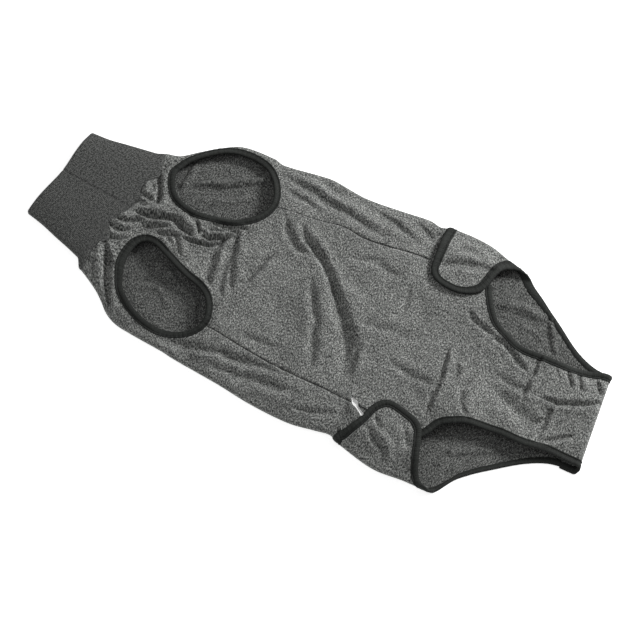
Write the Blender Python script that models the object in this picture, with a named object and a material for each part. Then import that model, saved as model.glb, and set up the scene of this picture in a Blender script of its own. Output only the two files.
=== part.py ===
"""Dog recovery suit, laid flat with the belly side up.

Metres, +Z up, resting on Z = 0. The suit lies along X with the collar towards -X and the tail
towards +X, and +Y is the dog's left side. Every cloth piece is a grid laid over one shape of the
suit, given as a share of its length and of its flat width, and thickened to a wall. The origin is
the middle of the finished suit's box, on the floor.
"""
import math
from collections import namedtuple

import bmesh
import bpy
from mathutils import Vector

# Driving dimensions
BODY_LENGTH = 0.572          # neckline seam to the fold at the tail
BODY_WIDTH = 0.290           # flat width at the hips, half of the girth
COLLAR_LENGTH = 0.088        # neckline seam to the collar's free edge
COLLAR_WIDTH = 0.122         # flat width of the collar at its free edge
PUFF = 0.0165                # height of the middle of the belly over the floor
FOLD_DEPTH = 0.0040          # depth of the deepest fold in the upper layer
FOLD_WIDTH = 0.0085          # half width of a fold
TURN_RADIUS = 0.0045         # outer radius of the cloth where it turns up at a side
CLOTH = 0.0015               # wall of the jersey
RIB = 0.0024                 # wall of the doubled rib knit
BINDING_WIDTH = 0.0080       # folded tape, across
BINDING_WALL = 0.0028        # folded tape, through
BINDING_PROUD = 0.0006       # rise of the tape over the cloth that it binds
LEG_OPENING_LENGTH = 0.126   # front leg opening over its tape, along the suit
LEG_OPENING_WIDTH = 0.100    # front leg opening over its tape, across the suit
WING_LIFT = 0.0046           # rise of a hip wing over the belly panel that it laps
WING_BLEND = 0.025           # distance from the side fold in which a wing comes up to its lift
TAIL_TURN_UNDER = 0.020      # length of the belly panel turned under at the tail
NECK_SLANT = 0.027           # how far the neckline leans, over one body width
COLLAR_SLANT = 0.0145        # how far the free edge leans, over one collar width
LABEL_LENGTH = 0.021
LABEL_WIDTH = 0.006
LABEL_WALL = 0.0010
SEAM_GAP = 0.0006            # between two cloth edges that are sewn together
GAP = 0.0003                 # between a tape and the cloth that it binds
SLIT_GAP = 0.0020            # between a wing's slit and the cloth in front of it
SLIT_END = 0.0016            # uncut cloth between a slit and the side turn
NECK_GAP = 0.0005            # between the collar and the body, at the outside of the seam
SLOPE_STEP = 0.0002          # over which the slope of the cloth is read

# How the cloth is divided
FRONT_ROWS = 25               # of the back panel, up to the wings' slits
HIP_ROWS = 40                # of the back panel and its tapes, from the slits to the tail
STRIP_COLUMNS = 4
TURN_COLUMNS = 3
FLOOR_COLUMNS = 2            # on each half of the floor layer
SEAM_ROWS = 27               # of the belly panel, along the side seams
BELLY_ROWS = 26              # of the belly panel and its tapes, up to the tail fold
BELLY_COLUMNS = 13
TAIL_TURN_ROWS = 4
COLLAR_ROWS = 7
COLLAR_TOP_COLUMNS = 5       # on each half of the collar's upper layer
LEG_TAPE_STEPS = 32
CURVE_STEPS = 8              # fine points of a smooth curve between two marks

Section = namedtuple("Section", "along low high rise turn")
Mark = namedtuple("Mark", "along across")
Wing = namedtuple("Wing", "slit front rear")
BellyEdge = namedtuple("BellyEdge", "marks tape_start")
Opening = namedtuple("Opening", "along across lean")
Look = namedtuple("Look", "colour roughness")
Fold = namedtuple("Fold", "line along across width depth")

NECK_PIVOT = 0.26            # where across the suit the neckline doesn't lean
NECK_FADE = 0.03             # share of the body's length that leans with the neckline
TAIL_PLACE = 0.993           # where the tail fold crosses the middle, and how it leans
TAIL_LEAN = 0.05

# Outline and height of the body: along in shares of BODY_LENGTH, low and high in shares of
# BODY_WIDTH, rise in shares of PUFF, turn in shares of TURN_RADIUS
SECTIONS = (
    Section(0.000, -0.307, 0.279, 0.88, 1.0),
    Section(0.030, -0.357, 0.296, 0.92, 1.0),
    Section(0.060, -0.416, 0.345, 0.96, 1.0),
    Section(0.090, -0.445, 0.393, 1.00, 1.0),
    Section(0.130, -0.455, 0.441, 1.00, 1.0),
    Section(0.200, -0.464, 0.452, 0.98, 1.0),
    Section(0.300, -0.479, 0.466, 0.96, 1.0),
    Section(0.400, -0.500, 0.459, 1.00, 1.0),
    Section(0.480, -0.501, 0.473, 1.00, 1.0),
    Section(0.535, -0.481, 0.486, 0.95, 1.0),
    Section(0.560, -0.473, 0.479, 0.92, 1.0),
    Section(0.585, -0.491, 0.495, 0.90, 1.0),
    Section(0.660, -0.519, 0.495, 0.88, 1.0),
    Section(0.720, -0.509, 0.474, 0.84, 1.0),
    Section(0.765, -0.504, 0.447, 0.82, 1.0),
    Section(0.785, -0.490, 0.431, 0.80, 1.0),
    Section(0.810, -0.409, 0.376, 0.79, 0.0),
    Section(0.860, -0.317, 0.309, 0.77, 0.0),
    Section(0.910, -0.243, 0.244, 0.74, 0.0),
    Section(0.950, -0.203, 0.218, 0.72, 0.0),
    Section(1.000, -0.193, 0.219, 0.68, 0.0),
)
# The collar, from the neckline to the free edge: along in shares of COLLAR_LENGTH, low and high
# in shares of COLLAR_WIDTH, rise in shares of PUFF, turn in shares of TURN_RADIUS
COLLAR_SECTIONS = (
    Section(0.14, -0.628, 0.629, 0.86, 1.0),
    Section(0.30, -0.590, 0.611, 0.85, 1.0),
    Section(0.50, -0.548, 0.588, 0.84, 1.0),
    Section(0.75, -0.492, 0.558, 0.83, 1.0),
    Section(1.00, -0.451, 0.549, 0.82, 1.0),
)

# Side seams, then the hidden and open edges of the belly panel down to the tail
BELLY_EDGE_LEFT = (
    Mark(0.000, 0.228), Mark(0.260, 0.266), Mark(0.383, 0.303), Mark(0.441, 0.300),
    Mark(0.537, 0.328), Mark(0.600, 0.336), Mark(0.670, 0.352), Mark(0.700, 0.345),
    Mark(0.709, 0.310), Mark(0.726, 0.259), Mark(0.747, 0.214), Mark(0.773, 0.190),
    Mark(0.799, 0.172), Mark(0.834, 0.169), Mark(0.904, 0.179), Mark(0.939, 0.193),
    Mark(0.970, 0.212), Mark(1.000, 0.212),
)
BELLY_EDGE_RIGHT = (
    Mark(0.000, -0.214), Mark(0.257, -0.297), Mark(0.414, -0.321), Mark(0.502, -0.321),
    Mark(0.589, -0.324), Mark(0.677, -0.335), Mark(0.712, -0.330), Mark(0.722, -0.303),
    Mark(0.733, -0.259), Mark(0.755, -0.231), Mark(0.782, -0.207), Mark(0.834, -0.193),
    Mark(0.886, -0.190), Mark(0.921, -0.178), Mark(0.950, -0.170), Mark(1.000, -0.170),
)
# The tape starts where a seam ends and the open edge begins
BELLY_LEFT = BellyEdge(BELLY_EDGE_LEFT, 0.590)
BELLY_RIGHT = BellyEdge(BELLY_EDGE_RIGHT, 0.618)

# Outer edge of each hip wing: its front along the slit, then its rear and the arch of the hind
# leg opening
SLIT_PLACE = 0.572
WING_LEFT = Wing(SLIT_PLACE, (
    Mark(0.575, 0.345), Mark(0.581, 0.297),
), (
    Mark(0.598, 0.264), Mark(0.624, 0.252), Mark(0.650, 0.256), Mark(0.674, 0.276),
    Mark(0.690, 0.305), Mark(0.696, 0.345), Mark(0.700, 0.390), Mark(0.710, 0.422),
    Mark(0.729, 0.440), Mark(0.753, 0.446),
))
WING_RIGHT = Wing(SLIT_PLACE, (
    Mark(0.587, -0.425), Mark(0.598, -0.362), Mark(0.604, -0.302),
), (
    Mark(0.615, -0.262), Mark(0.633, -0.246), Mark(0.659, -0.252), Mark(0.688, -0.268),
    Mark(0.706, -0.295), Mark(0.716, -0.336), Mark(0.724, -0.386), Mark(0.735, -0.440),
    Mark(0.749, -0.478), Mark(0.766, -0.496),
))

LEG_OPENING_LEFT = Opening(0.143, 0.252, 0.40)
LEG_OPENING_RIGHT = Opening(0.143, -0.241, -0.50)

# Folds pressed into the upper layer, as the points of numbered lines: places in shares of
# BODY_LENGTH and BODY_WIDTH, width in shares of FOLD_WIDTH, depth in shares of FOLD_DEPTH, and a
# negative depth is a ridge
FOLDS = (
    Fold(1, 0.318, 0.231, 1.0, 0.5), Fold(1, 0.379, 0.155, 1.0, 0.9),
    Fold(1, 0.441, 0.052, 1.0, 1.0), Fold(1, 0.502, -0.086, 1.0, 0.9),
    Fold(1, 0.528, -0.259, 0.9, 0.5),
    Fold(2, 0.388, 0.052, 0.8, 0.4), Fold(2, 0.432, -0.086, 0.8, 0.6),
    Fold(2, 0.463, -0.259, 0.8, 0.5),
    Fold(3, 0.222, 0.103, 0.9, 0.5), Fold(3, 0.240, -0.030, 0.9, 0.5),
    Fold(3, 0.262, -0.131, 0.9, 0.4),
    Fold(4, 0.292, 0.069, 0.9, 0.5), Fold(4, 0.271, -0.121, 0.9, 0.4),
    Fold(5, 0.222, 0.400, 1.0, 0.5), Fold(5, 0.379, 0.372, 1.0, 0.6),
    Fold(5, 0.519, 0.350, 1.0, 0.5),
    Fold(6, 0.222, -0.390, 1.0, 0.6), Fold(6, 0.414, -0.335, 1.0, 0.6),
    Fold(7, 0.021, -0.017, 1.0, 0.5), Fold(7, 0.082, 0.034, 1.0, 1.0),
    Fold(7, 0.143, 0.014, 0.9, 1.0), Fold(7, 0.190, 0.050, 0.8, 0.5),
    Fold(8, 0.056, -0.060, 0.8, -0.4), Fold(8, 0.152, -0.045, 0.8, -0.4),
    Fold(9, 0.021, 0.172, 0.8, 0.5), Fold(9, 0.038, 0.069, 0.8, 0.5),
    Fold(10, 0.560, -0.010, 1.0, 0.3), Fold(10, 0.624, 0.028, 1.0, 0.4),
    Fold(11, 0.594, 0.345, 0.9, 0.4), Fold(11, 0.685, 0.400, 0.9, 0.5),
    Fold(12, 0.625, -0.340, 0.9, 0.4), Fold(12, 0.677, -0.440, 0.9, 0.5),
    Fold(13, 0.755, -0.052, 0.9, 0.5), Fold(13, 0.773, -0.140, 0.9, 0.5),
    Fold(14, 0.851, 0.120, 0.9, 0.4), Fold(14, 0.851, -0.017, 0.9, 0.4),
    Fold(15, 0.895, -0.060, 0.9, 0.5), Fold(15, 0.869, -0.130, 0.9, 0.5),
)
FOLD_FADE = 0.020            # folds die away over this distance from a side
LABEL_PLACE = Mark(0.579, -0.328)
LABEL_HEADING = math.radians(-33)

FRONT_BEND = 0.15            # share of the front rows that bend over to the slits

JERSEY = Look((0.20, 0.20, 0.21), 0.9)
RIB_KNIT = Look((0.07, 0.07, 0.075), 0.9)
TAPE = Look((0.03, 0.03, 0.033), 0.85)
LABEL = Look((0.85, 0.85, 0.84), 0.7)


def smooth(share):
    """Ease from 0 to 1, flat at both ends."""
    share = min(max(share, 0.0), 1.0)
    return share * share * (3 - 2 * share)


def read_table(rows, column, along):
    """Read a column of a table at a share of the length, on a smooth curve through its rows."""
    places = [row.along for row in rows]
    values = [getattr(row, column) for row in rows]
    last = len(rows) - 1
    if along <= places[0]:
        return values[0]
    if along >= places[last]:
        return values[last]
    k = max(i for i in range(last) if places[i] <= along)

    def slope(i):
        before, after = max(i - 1, 0), min(i + 1, last)
        return (values[after] - values[before]) / (places[after] - places[before])

    span = places[k + 1] - places[k]
    t = (along - places[k]) / span
    start = (2 * t ** 3 - 3 * t ** 2 + 1) * values[k] + (t ** 3 - 2 * t ** 2 + t) * span * slope(k)
    end = (3 * t ** 2 - 2 * t ** 3) * values[k + 1] + (t ** 3 - t ** 2) * span * slope(k + 1)
    return start + end


class Ring:
    """A section across the suit: flat on the floor, turned up at both sides, crowned above.

    A reach is a length of cloth from the floor's edge, up round a side and in over the top. On
    the floor itself it is less than nothing.
    """

    def __init__(self, low, high, rise, turn):
        self.middle = (low + high) / 2
        self.rise = rise
        self.turn = max(turn, 0.0)
        self.flat = (high - low) / 2 - self.turn
        self.arc = math.pi * self.turn

    def crown(self, y, side_height):
        """Height of the upper layer, from a side's height up to the rise in the middle."""
        out = abs(y - self.middle) / self.flat
        if out < 1:
            return side_height + (self.rise - side_height) * (1 - out ** 4)
        over = min(abs(y - self.middle) - self.flat, self.turn)
        return side_height - self.turn + math.sqrt(self.turn ** 2 - over ** 2)

    def reach(self, y):
        """Reach of a place on the upper layer."""
        return self.arc + self.from_side(y)

    def from_side(self, y):
        """Distance of a place on the upper layer from the side turn."""
        return self.flat - abs(y - self.middle)

    def wrap(self, reach, side, proud=0.0):
        """Across and height of the outside of the cloth at a reach on one side."""
        if reach <= 0:
            return self.middle + side * (self.flat + reach), 0.0
        if reach < self.arc:
            angle = reach / self.turn
            radius = self.turn + proud * smooth(angle / math.pi)
            y = self.flat + radius * math.sin(angle)
            return self.middle + side * y, self.turn - radius * math.cos(angle)
        y = self.middle + side * (self.flat + self.arc - reach)
        return y, self.crown(y, 2 * self.turn) + proud


def body_ring(x):
    """Section of the body at a distance from the neckline."""
    share = x / BODY_LENGTH
    return Ring(read_table(SECTIONS, "low", share) * BODY_WIDTH,
                read_table(SECTIONS, "high", share) * BODY_WIDTH,
                read_table(SECTIONS, "rise", share) * PUFF,
                read_table(SECTIONS, "turn", share) * TURN_RADIUS)


def collar_ring(share):
    """Section of the collar, which leaves the neckline at the body's own width."""
    seam = COLLAR_SECTIONS[0].along
    blend = smooth(share / seam)
    low, high = (read_table(COLLAR_SECTIONS, column, share) * COLLAR_WIDTH
                 for column in ("low", "high"))
    body_low, body_high = SECTIONS[0].low * BODY_WIDTH, SECTIONS[0].high * BODY_WIDTH
    return Ring(body_low + (low - body_low) * blend, body_high + (high - body_high) * blend,
                read_table(COLLAR_SECTIONS, "rise", share) * PUFF,
                read_table(COLLAR_SECTIONS, "turn", share) * TURN_RADIUS)


def fold_height(x, y, ring):
    """Sum of the lines of folds at a place, each a valley between two low ridges."""
    spot = Vector((x, y))
    nearest = {}
    for first, second in zip(FOLDS, FOLDS[1:]):
        if first.line == second.line:
            start = Vector((first.along * BODY_LENGTH, first.across * BODY_WIDTH))
            run = Vector((second.along * BODY_LENGTH, second.across * BODY_WIDTH)) - start
            t = min(max((spot - start).dot(run) / run.length_squared, 0.0), 1.0)
            width = (first.width + t * (second.width - first.width)) * FOLD_WIDTH
            off = (spot - start - run * t).length / width
            if first.line not in nearest or off < nearest[first.line][0]:
                nearest[first.line] = (off, first.depth + t * (second.depth - first.depth))
    total = sum(-depth * FOLD_DEPTH * (1 - off ** 2) * math.exp(-off ** 2 / 2)
                for off, depth in nearest.values())
    return total * smooth(ring.from_side(y) / FOLD_FADE)


def upper(x, y):
    """Height of the outside of the upper layer."""
    ring = body_ring(x)
    return ring.crown(y, 2 * TURN_RADIUS) + fold_height(x, y, ring)


def back_point(x, reach, side, wing=False, proud=0.0):
    """Outside of the back panel, where a wing lies higher than the rest of the upper layer."""
    ring = body_ring(x)
    y, height = ring.wrap(reach, side, proud)
    if reach > ring.arc:
        height += fold_height(x, y, ring)
        if wing:
            height += WING_LIFT * smooth(ring.from_side(y) / WING_BLEND)
    return Vector((x, y, height))


def slit_reach(wing):
    """Reach of the outer end of a wing's tape, at the slit."""
    return body_ring(wing.slit * BODY_LENGTH).arc + 2 * SLIT_END + SLIT_GAP


def slit_place(wing, y):
    """Where a wing's slit passes y, read a little nearer the side to clear the tape's corner."""
    end = back_point(wing.slit * BODY_LENGTH, slit_reach(wing), math.copysign(1, y))
    share = (abs(y) + 2 * SLIT_GAP) / BODY_WIDTH
    marks = [Mark(wing.slit, abs(end.y) / BODY_WIDTH)]
    marks += [Mark(mark.along, abs(mark.across)) for mark in wing.front]
    for first, second in zip(marks, marks[1:]):
        if share >= second.across:
            t = max((share - first.across) / (second.across - first.across), 0.0)
            return (first.along + t * (second.along - first.along)) * BODY_LENGTH
    return marks[-1].along * BODY_LENGTH


def lean_neck(point):
    """Lean the first rows of the body over to the slanted neckline."""
    fade = 1 - min(max(point.x / (NECK_FADE * BODY_LENGTH), 0.0), 1.0)
    shift = NECK_SLANT * (NECK_PIVOT - point.y / BODY_WIDTH) * fade
    return Vector((point.x - shift, point.y, point.z))


def tail_fold(y):
    """Where the belly panel folds under, which leans a little across the suit."""
    return BODY_LENGTH * (TAIL_PLACE - TAIL_LEAN * y / BODY_WIDTH)


def tail_turn(y):
    """Radius of the tail fold, and where it starts."""
    radius = upper(tail_fold(y), y) / 2
    return radius, tail_fold(y) - radius


def tail_butt():
    """Where the turned under end of the belly panel meets the back panel."""
    return BODY_LENGTH - TAIL_TURN_UNDER


def belly_point(travel, y, proud=0.0):
    """Outside of the belly panel: travel runs along the suit, then round the tail fold."""
    radius, start = tail_turn(y)
    if travel <= start:
        return Vector((travel, y, upper(travel, y) + proud))
    angle = (travel - start) / radius
    if angle >= math.pi:
        return Vector((start - (travel - start - math.pi * radius), y, 0.0))
    reach = radius + proud * (1 - smooth(angle / math.pi))
    drop = (upper(start, y) - 2 * radius) * (1 - angle / math.pi)
    return Vector((start + reach * math.sin(angle), y, radius + drop + reach * math.cos(angle)))


def belly_travel(row, y, first):
    """Travel of a row of the taped part: even rows to the tail fold, rows round it and the end."""
    radius, start = tail_turn(y)
    if row <= BELLY_ROWS:
        return first + (start - first) * row / BELLY_ROWS
    if row <= BELLY_ROWS + TAIL_TURN_ROWS:
        return start + math.pi * radius * (row - BELLY_ROWS) / TAIL_TURN_ROWS
    return start + math.pi * radius + start - tail_butt()


def material(name, colour, roughness):
    """Plain principled material of one piece."""
    made = bpy.data.materials.new(name)
    made.use_nodes = True
    shader = made.node_tree.nodes["Principled BSDF"]
    shader.inputs["Base Color"].default_value = (*colour, 1.0)
    shader.inputs["Roughness"].default_value = roughness
    shader.inputs["Metallic"].default_value = 0.0
    return made


def wall_at(surface, spot, wall, outward, crown=0.0):
    """Outer point of a wall at a spot of a surface, and the inner point square through it."""
    base = surface(spot, 0.0)
    along = base - surface(spot - Vector((SLOPE_STEP, 0.0)), 0.0)
    across = base - surface(spot - Vector((0.0, SLOPE_STEP)), 0.0)
    return surface(spot, crown), base - along.cross(across).normalized() * wall * outward


def back_side(side, wing):
    """The back panel's outside as a surface of two coordinates, and its outward sense."""
    def surface(spot, crown):
        return lean_neck(back_point(spot.x, spot.y, side, wing, crown))

    return surface, -side


def belly_side(spot, crown):
    """The belly panel's outside as a surface of two coordinates."""
    return lean_neck(belly_point(spot.x, spot.y, crown))


def lay_grid(bm, rows, columns, place):
    """Grid whose corners, outer and inner, are placed by a function of two shares."""
    inner = bm.verts.layers.float_vector.verify()
    made = bmesh.ops.create_grid(bm, x_segments=rows, y_segments=columns, size=0.5)
    for vertex in made["verts"]:
        vertex.co, vertex[inner] = place(vertex.co.x + 0.5, vertex.co.y + 0.5)


def walled_mesh(name, bm):
    """Close a surface on itself where its corners meet, and give it its inner side and rim."""
    bmesh.ops.remove_doubles(bm, verts=bm.verts, dist=1e-6)
    bmesh.ops.triangulate(bm, faces=bm.faces)
    inner = bm.verts.layers.float_vector.verify()
    made = bmesh.ops.extrude_face_region(bm, geom=list(bm.faces), use_keep_orig=True)["geom"]
    for item in made:
        if isinstance(item, bmesh.types.BMVert):
            item.co = item[inner]
    bmesh.ops.triangulate(bm, faces=bm.faces)
    bmesh.ops.recalc_face_normals(bm, faces=bm.faces)
    mesh = bpy.data.meshes.new(name)
    bm.to_mesh(mesh)
    bm.free()
    mesh.shade_smooth()
    return mesh


def grid_mesh(name, rows, columns, place):
    """Walled mesh of one grid."""
    bm = bmesh.new()
    lay_grid(bm, rows, columns, place)
    return walled_mesh(name, bm)


def add_piece(name, mesh, look):
    """One solid sub-part of the suit."""
    thing = bpy.data.objects.new(name, mesh)
    parts.objects.link(thing)
    mesh.materials.append(material(name, look.colour, look.roughness))
    return thing


def add_cutter(name, mesh):
    """A shape that only makes room in the cloth."""
    thing = bpy.data.objects.new(name, mesh)
    cutters.objects.link(thing)
    thing.hide_render = True
    thing.display_type = "WIRE"
    return thing


def cut(cloth, cutter):
    """Cut a piece of cloth with a cutter."""
    modifier = cloth.modifiers.new(cutter.name, "BOOLEAN")
    modifier.operation = "DIFFERENCE"
    modifier.solver = "EXACT"
    modifier.object = cutter


def curve_through(points, count):
    """Even points on a smooth curve through the given ones, with count steps between them."""
    ends = [2 * points[0] - points[1]] + list(points) + [2 * points[-1] - points[-2]]
    fine = []
    for a, b, c, d in zip(ends, ends[1:], ends[2:], ends[3:]):
        for k in range(CURVE_STEPS):
            t = k / CURVE_STEPS
            fine.append(0.5 * (2 * b + (c - a) * t + (2 * a - 5 * b + 4 * c - d) * t ** 2
                               + (3 * b - a - 3 * c + d) * t ** 3))
    fine.append(points[-1].copy())
    lengths = [0.0]
    for first, second in zip(fine, fine[1:]):
        lengths.append(lengths[-1] + (second - first).length)
    even = [fine[0]]
    for i in range(1, count):
        goal = lengths[-1] * i / count
        k = max(j for j in range(len(fine) - 1) if lengths[j] <= goal)
        t = (goal - lengths[k]) / (lengths[k + 1] - lengths[k])
        even.append(fine[k].lerp(fine[k + 1], t))
    return even + [fine[-1]]


def inset_line(line, inward, depth):
    """A line moved across by a depth, to the side on which the cloth lies."""
    last = len(line) - 1
    moved = []
    for k, point in enumerate(line):
        run = (line[min(k + 1, last)] - line[max(k - 1, 0)]).normalized()
        moved.append(point + Vector((-run.y, run.x)) * inward * depth)
    return moved


def tape_mesh(name, line, inward, wall_of):
    """Folded tape along its free edge, a line in the two coordinates of a surface."""
    lines = [inset_line(line, inward, depth) for depth in (0, BINDING_WIDTH / 2, BINDING_WIDTH)]
    last = len(line) - 1

    def place(along, over):
        k, column = round(along * last), round(over * 2)
        return wall_of(k, lines[column][k], BINDING_PROUD if column == 1 else 0.0)

    return grid_mesh(name, last, 2, place)


def leg_opening_point(opening, angle, inset):
    """Point of a leaning ellipse, a set distance inside the opening's outer edge."""
    half_length = LEG_OPENING_LENGTH / 2 - inset
    half_width = LEG_OPENING_WIDTH / 2 - inset
    x = half_length * math.cos(angle) + opening.lean * half_width * math.sin(angle)
    y = half_width * math.sin(angle)
    return Vector((opening.along * BODY_LENGTH + x, opening.across * BODY_WIDTH + y))


def leg_tape_mesh(name, opening):
    """Ring of tape in the upper layer round a front leg opening, with upright sides."""
    def place(turn, over):
        spot = leg_opening_point(opening, turn * math.tau, over * BINDING_WIDTH)
        outer = Vector((spot.x, spot.y, upper(spot.x, spot.y)))
        crown = BINDING_PROUD if abs(over - 0.5) < 0.25 else 0.0
        return outer + Vector((0, 0, crown)), outer - Vector((0, 0, BINDING_WALL))

    return grid_mesh(name, LEG_TAPE_STEPS, 2, place)


def leg_prism_mesh(name, opening):
    """Upright prism through the upper layer only, out to the tape's outer edge."""
    mesh = bpy.data.meshes.new(name)
    bm = bmesh.new()
    bmesh.ops.create_cone(bm, cap_ends=True, segments=LEG_TAPE_STEPS, radius1=1.0, radius2=1.0,
                          depth=1.0)
    for vertex in bm.verts:
        angle = math.atan2(vertex.co.y, vertex.co.x)
        spot = leg_opening_point(opening, angle, -GAP)
        vertex.co = Vector((spot.x, spot.y, 2 * CLOTH if vertex.co.z < 0 else 3 * PUFF))
    bm.to_mesh(mesh)
    bm.free()
    return mesh


def hip_line(wing):
    """Free edge of a hip's tape: along the suit, and the reach round its side."""
    points = [Vector((wing.slit * BODY_LENGTH, slit_reach(wing)))]
    for mark in wing.front + wing.rear:
        x = mark.along * BODY_LENGTH
        points.append(Vector((x, body_ring(x).reach(mark.across * BODY_WIDTH))))
    end = tail_butt() - SEAM_GAP
    count = round((end - x) / BINDING_WIDTH / 2)
    for k in range(1, count + 1):
        place = x + (end - x) * k / count
        points.append(Vector((place, 0.0)))
    return curve_through(points, HIP_ROWS)


def hip_tape_mesh(name, wing, side):
    """Tape along a hip wing and on along the back panel's edge to the tail."""
    surface, outward = back_side(side, True)

    def wall_of(_, spot, crown):
        return wall_at(surface, spot, BINDING_WALL, outward, crown)

    return tape_mesh(name, hip_line(wing), -1, wall_of)


def side_places(edge):
    """Where along the side turn each row of the hip starts, spread out below the wing."""
    rings = [body_ring(point.x) for point in edge]
    last = max(k for k, ring in enumerate(rings)
               if edge[k].y > ring.arc + BINDING_WIDTH) + 1
    step = (edge[last].x - edge[0].x) / last
    return [edge[0].x + step * k if k < last else point.x for k, point in enumerate(edge)]


def column_reach(ring, edge, column):
    """Reach of a column, from a cut edge over the strip, the side turn and half the floor."""
    turned = min(ring.arc, edge - SLIT_END)
    floor = min(0.0, turned - BINDING_WIDTH / 4)
    if column < STRIP_COLUMNS:
        return edge + (turned - edge) * column / STRIP_COLUMNS
    column -= STRIP_COLUMNS
    if column < TURN_COLUMNS:
        return turned + (floor - turned) * column / TURN_COLUMNS
    return floor - (ring.flat + floor) * (column - TURN_COLUMNS) / FLOOR_COLUMNS


def front_mesh_place(along, side, column):
    """Corner of the back panel in front of the wings' slits."""
    wing, seam = (WING_LEFT, BELLY_LEFT) if side > 0 else (WING_RIGHT, BELLY_RIGHT)
    x = along * wing.slit * BODY_LENGTH
    bend = smooth((along - 1) / FRONT_BEND + 1)
    if column < STRIP_COLUMNS:
        edge_y = read_table(seam.marks, "across", x / BODY_LENGTH) * BODY_WIDTH
        part = 1 - column / STRIP_COLUMNS
        y = edge_y * part + side * body_ring(x).flat * (1 - part)
        x += (slit_place(wing, y) - SLIT_GAP - wing.slit * BODY_LENGTH) * bend
    ring = body_ring(x)
    edge_y = read_table(seam.marks, "across", x / BODY_LENGTH) * BODY_WIDTH + side * SEAM_GAP / 2
    surface, outward = back_side(side, False)
    spot = Vector((x, column_reach(ring, ring.reach(edge_y), column)))
    return wall_at(surface, spot, CLOTH, outward)


def rear_mesh_place(row, side, column):
    """Corner of the back panel from the wings' slits to the tail."""
    wing = WING_LEFT if side > 0 else WING_RIGHT
    edge, places = HIP_EDGES[side]
    surface, outward = back_side(side, True)
    if row == 0:
        x = wing.slit * BODY_LENGTH
        ring = body_ring(x)
        reach = column_reach(ring, ring.arc + SLIT_END, column)
        x += SLIT_END * max(1 - column / STRIP_COLUMNS, 0.0)
        return wall_at(surface, Vector((x, reach)), CLOTH, outward)
    spot = edge[row - 1]
    part = max(1 - column / STRIP_COLUMNS, 0.0)
    x = places[row - 1] * (1 - part) + spot.x * part
    if column > STRIP_COLUMNS + TURN_COLUMNS:
        share = (column - STRIP_COLUMNS - TURN_COLUMNS) / FLOOR_COLUMNS
        x += (HIP_EDGES[-side][1][row - 1] - x) * share / 2
    spot = Vector((x, column_reach(body_ring(x), spot.y, column)))
    return wall_at(surface, spot, CLOTH, outward)


def back_panel_mesh():
    """The floor layer with both side turns, the strips up to the seams and the hip wings."""
    half = STRIP_COLUMNS + TURN_COLUMNS + FLOOR_COLUMNS

    def side_and_column(over):
        column = round(over * 2 * half)
        return (1, column) if column <= half else (-1, 2 * half - column)

    bm = bmesh.new()
    lay_grid(bm, FRONT_ROWS, 2 * half, lambda along, over:
             front_mesh_place(along, *side_and_column(over)))
    lay_grid(bm, HIP_ROWS + 1, 2 * half, lambda along, over:
             rear_mesh_place(round(along * (HIP_ROWS + 1)), *side_and_column(over)))
    return walled_mesh("back_panel", bm)


def belly_line(edge):
    """Free edge of the belly panel's tape, from the seam's end to the end turned under."""
    tail_y = edge.marks[-1].across * BODY_WIDTH
    travels = [belly_travel(row, tail_y, edge.tape_start * BODY_LENGTH)
               for row in range(BELLY_ROWS + TAIL_TURN_ROWS + 2)]
    return [Vector((travel, read_table(edge.marks, "across", travel / BODY_LENGTH) * BODY_WIDTH))
            for travel in travels]


def belly_tape_mesh(name, edge, inward):
    """Tape along one edge of the belly panel."""
    line = belly_line(edge)

    def wall_of(row, spot, crown):
        first = edge.tape_start * BODY_LENGTH
        travel = belly_travel(row, spot.y, first) + spot.x - line[row].x
        return wall_at(belly_side, Vector((travel, spot.y)), BINDING_WALL, 1, crown)

    return tape_mesh(name, line, inward, wall_of)


def belly_panel_mesh():
    """The upper layer between the seams, which folds under at the tail."""
    sides = []
    for edge, inward in ((BELLY_RIGHT, 1), (BELLY_LEFT, -1)):
        line = belly_line(edge)
        sides.append((edge, line, inset_line(line, inward, BINDING_WIDTH + GAP)))
    rows = SEAM_ROWS + 2 + BELLY_ROWS + TAIL_TURN_ROWS + 1

    def place(along, over):
        row = round(along * rows)
        ends = []
        for edge, line, inner in sides:
            start = edge.tape_start * BODY_LENGTH
            if row <= SEAM_ROWS:
                travel = (start - BINDING_WIDTH / 2) * row / SEAM_ROWS
                y = read_table(edge.marks, "across", travel / BODY_LENGTH) * BODY_WIDTH
                ends.append(Vector((travel, y - math.copysign(SEAM_GAP / 2, y))))
            elif row == SEAM_ROWS + 1:
                ends.append(inner[0] - Vector((SEAM_GAP, 0.0)))
            else:
                k = row - SEAM_ROWS - 2
                ends.append(Vector((inner[k].x - line[k].x, inner[k].y)))
        spot = ends[0].lerp(ends[1], over)
        if row > SEAM_ROWS + 1:
            first = BELLY_RIGHT.tape_start * (1 - over) + BELLY_LEFT.tape_start * over
            spot.x += belly_travel(row - SEAM_ROWS - 2, spot.y, first * BODY_LENGTH)
        return wall_at(belly_side, spot, CLOTH, 1)

    return grid_mesh("belly_panel", rows, BELLY_COLUMNS, place)


def collar_side(side):
    """The collar's outside as a surface of two coordinates, and its outward sense."""
    def surface(spot, _):
        y, height = collar_ring(spot.x).wrap(spot.y, side)
        at_neck = NECK_SLANT * (NECK_PIVOT - y / BODY_WIDTH)
        at_edge = COLLAR_SLANT * (COLLAR_SECTIONS[-1].high - y / COLLAR_WIDTH)
        x = -NECK_GAP - COLLAR_LENGTH * spot.x - at_neck * (1 - spot.x) - at_edge * spot.x
        return Vector((x, y, height))

    return surface, side


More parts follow.
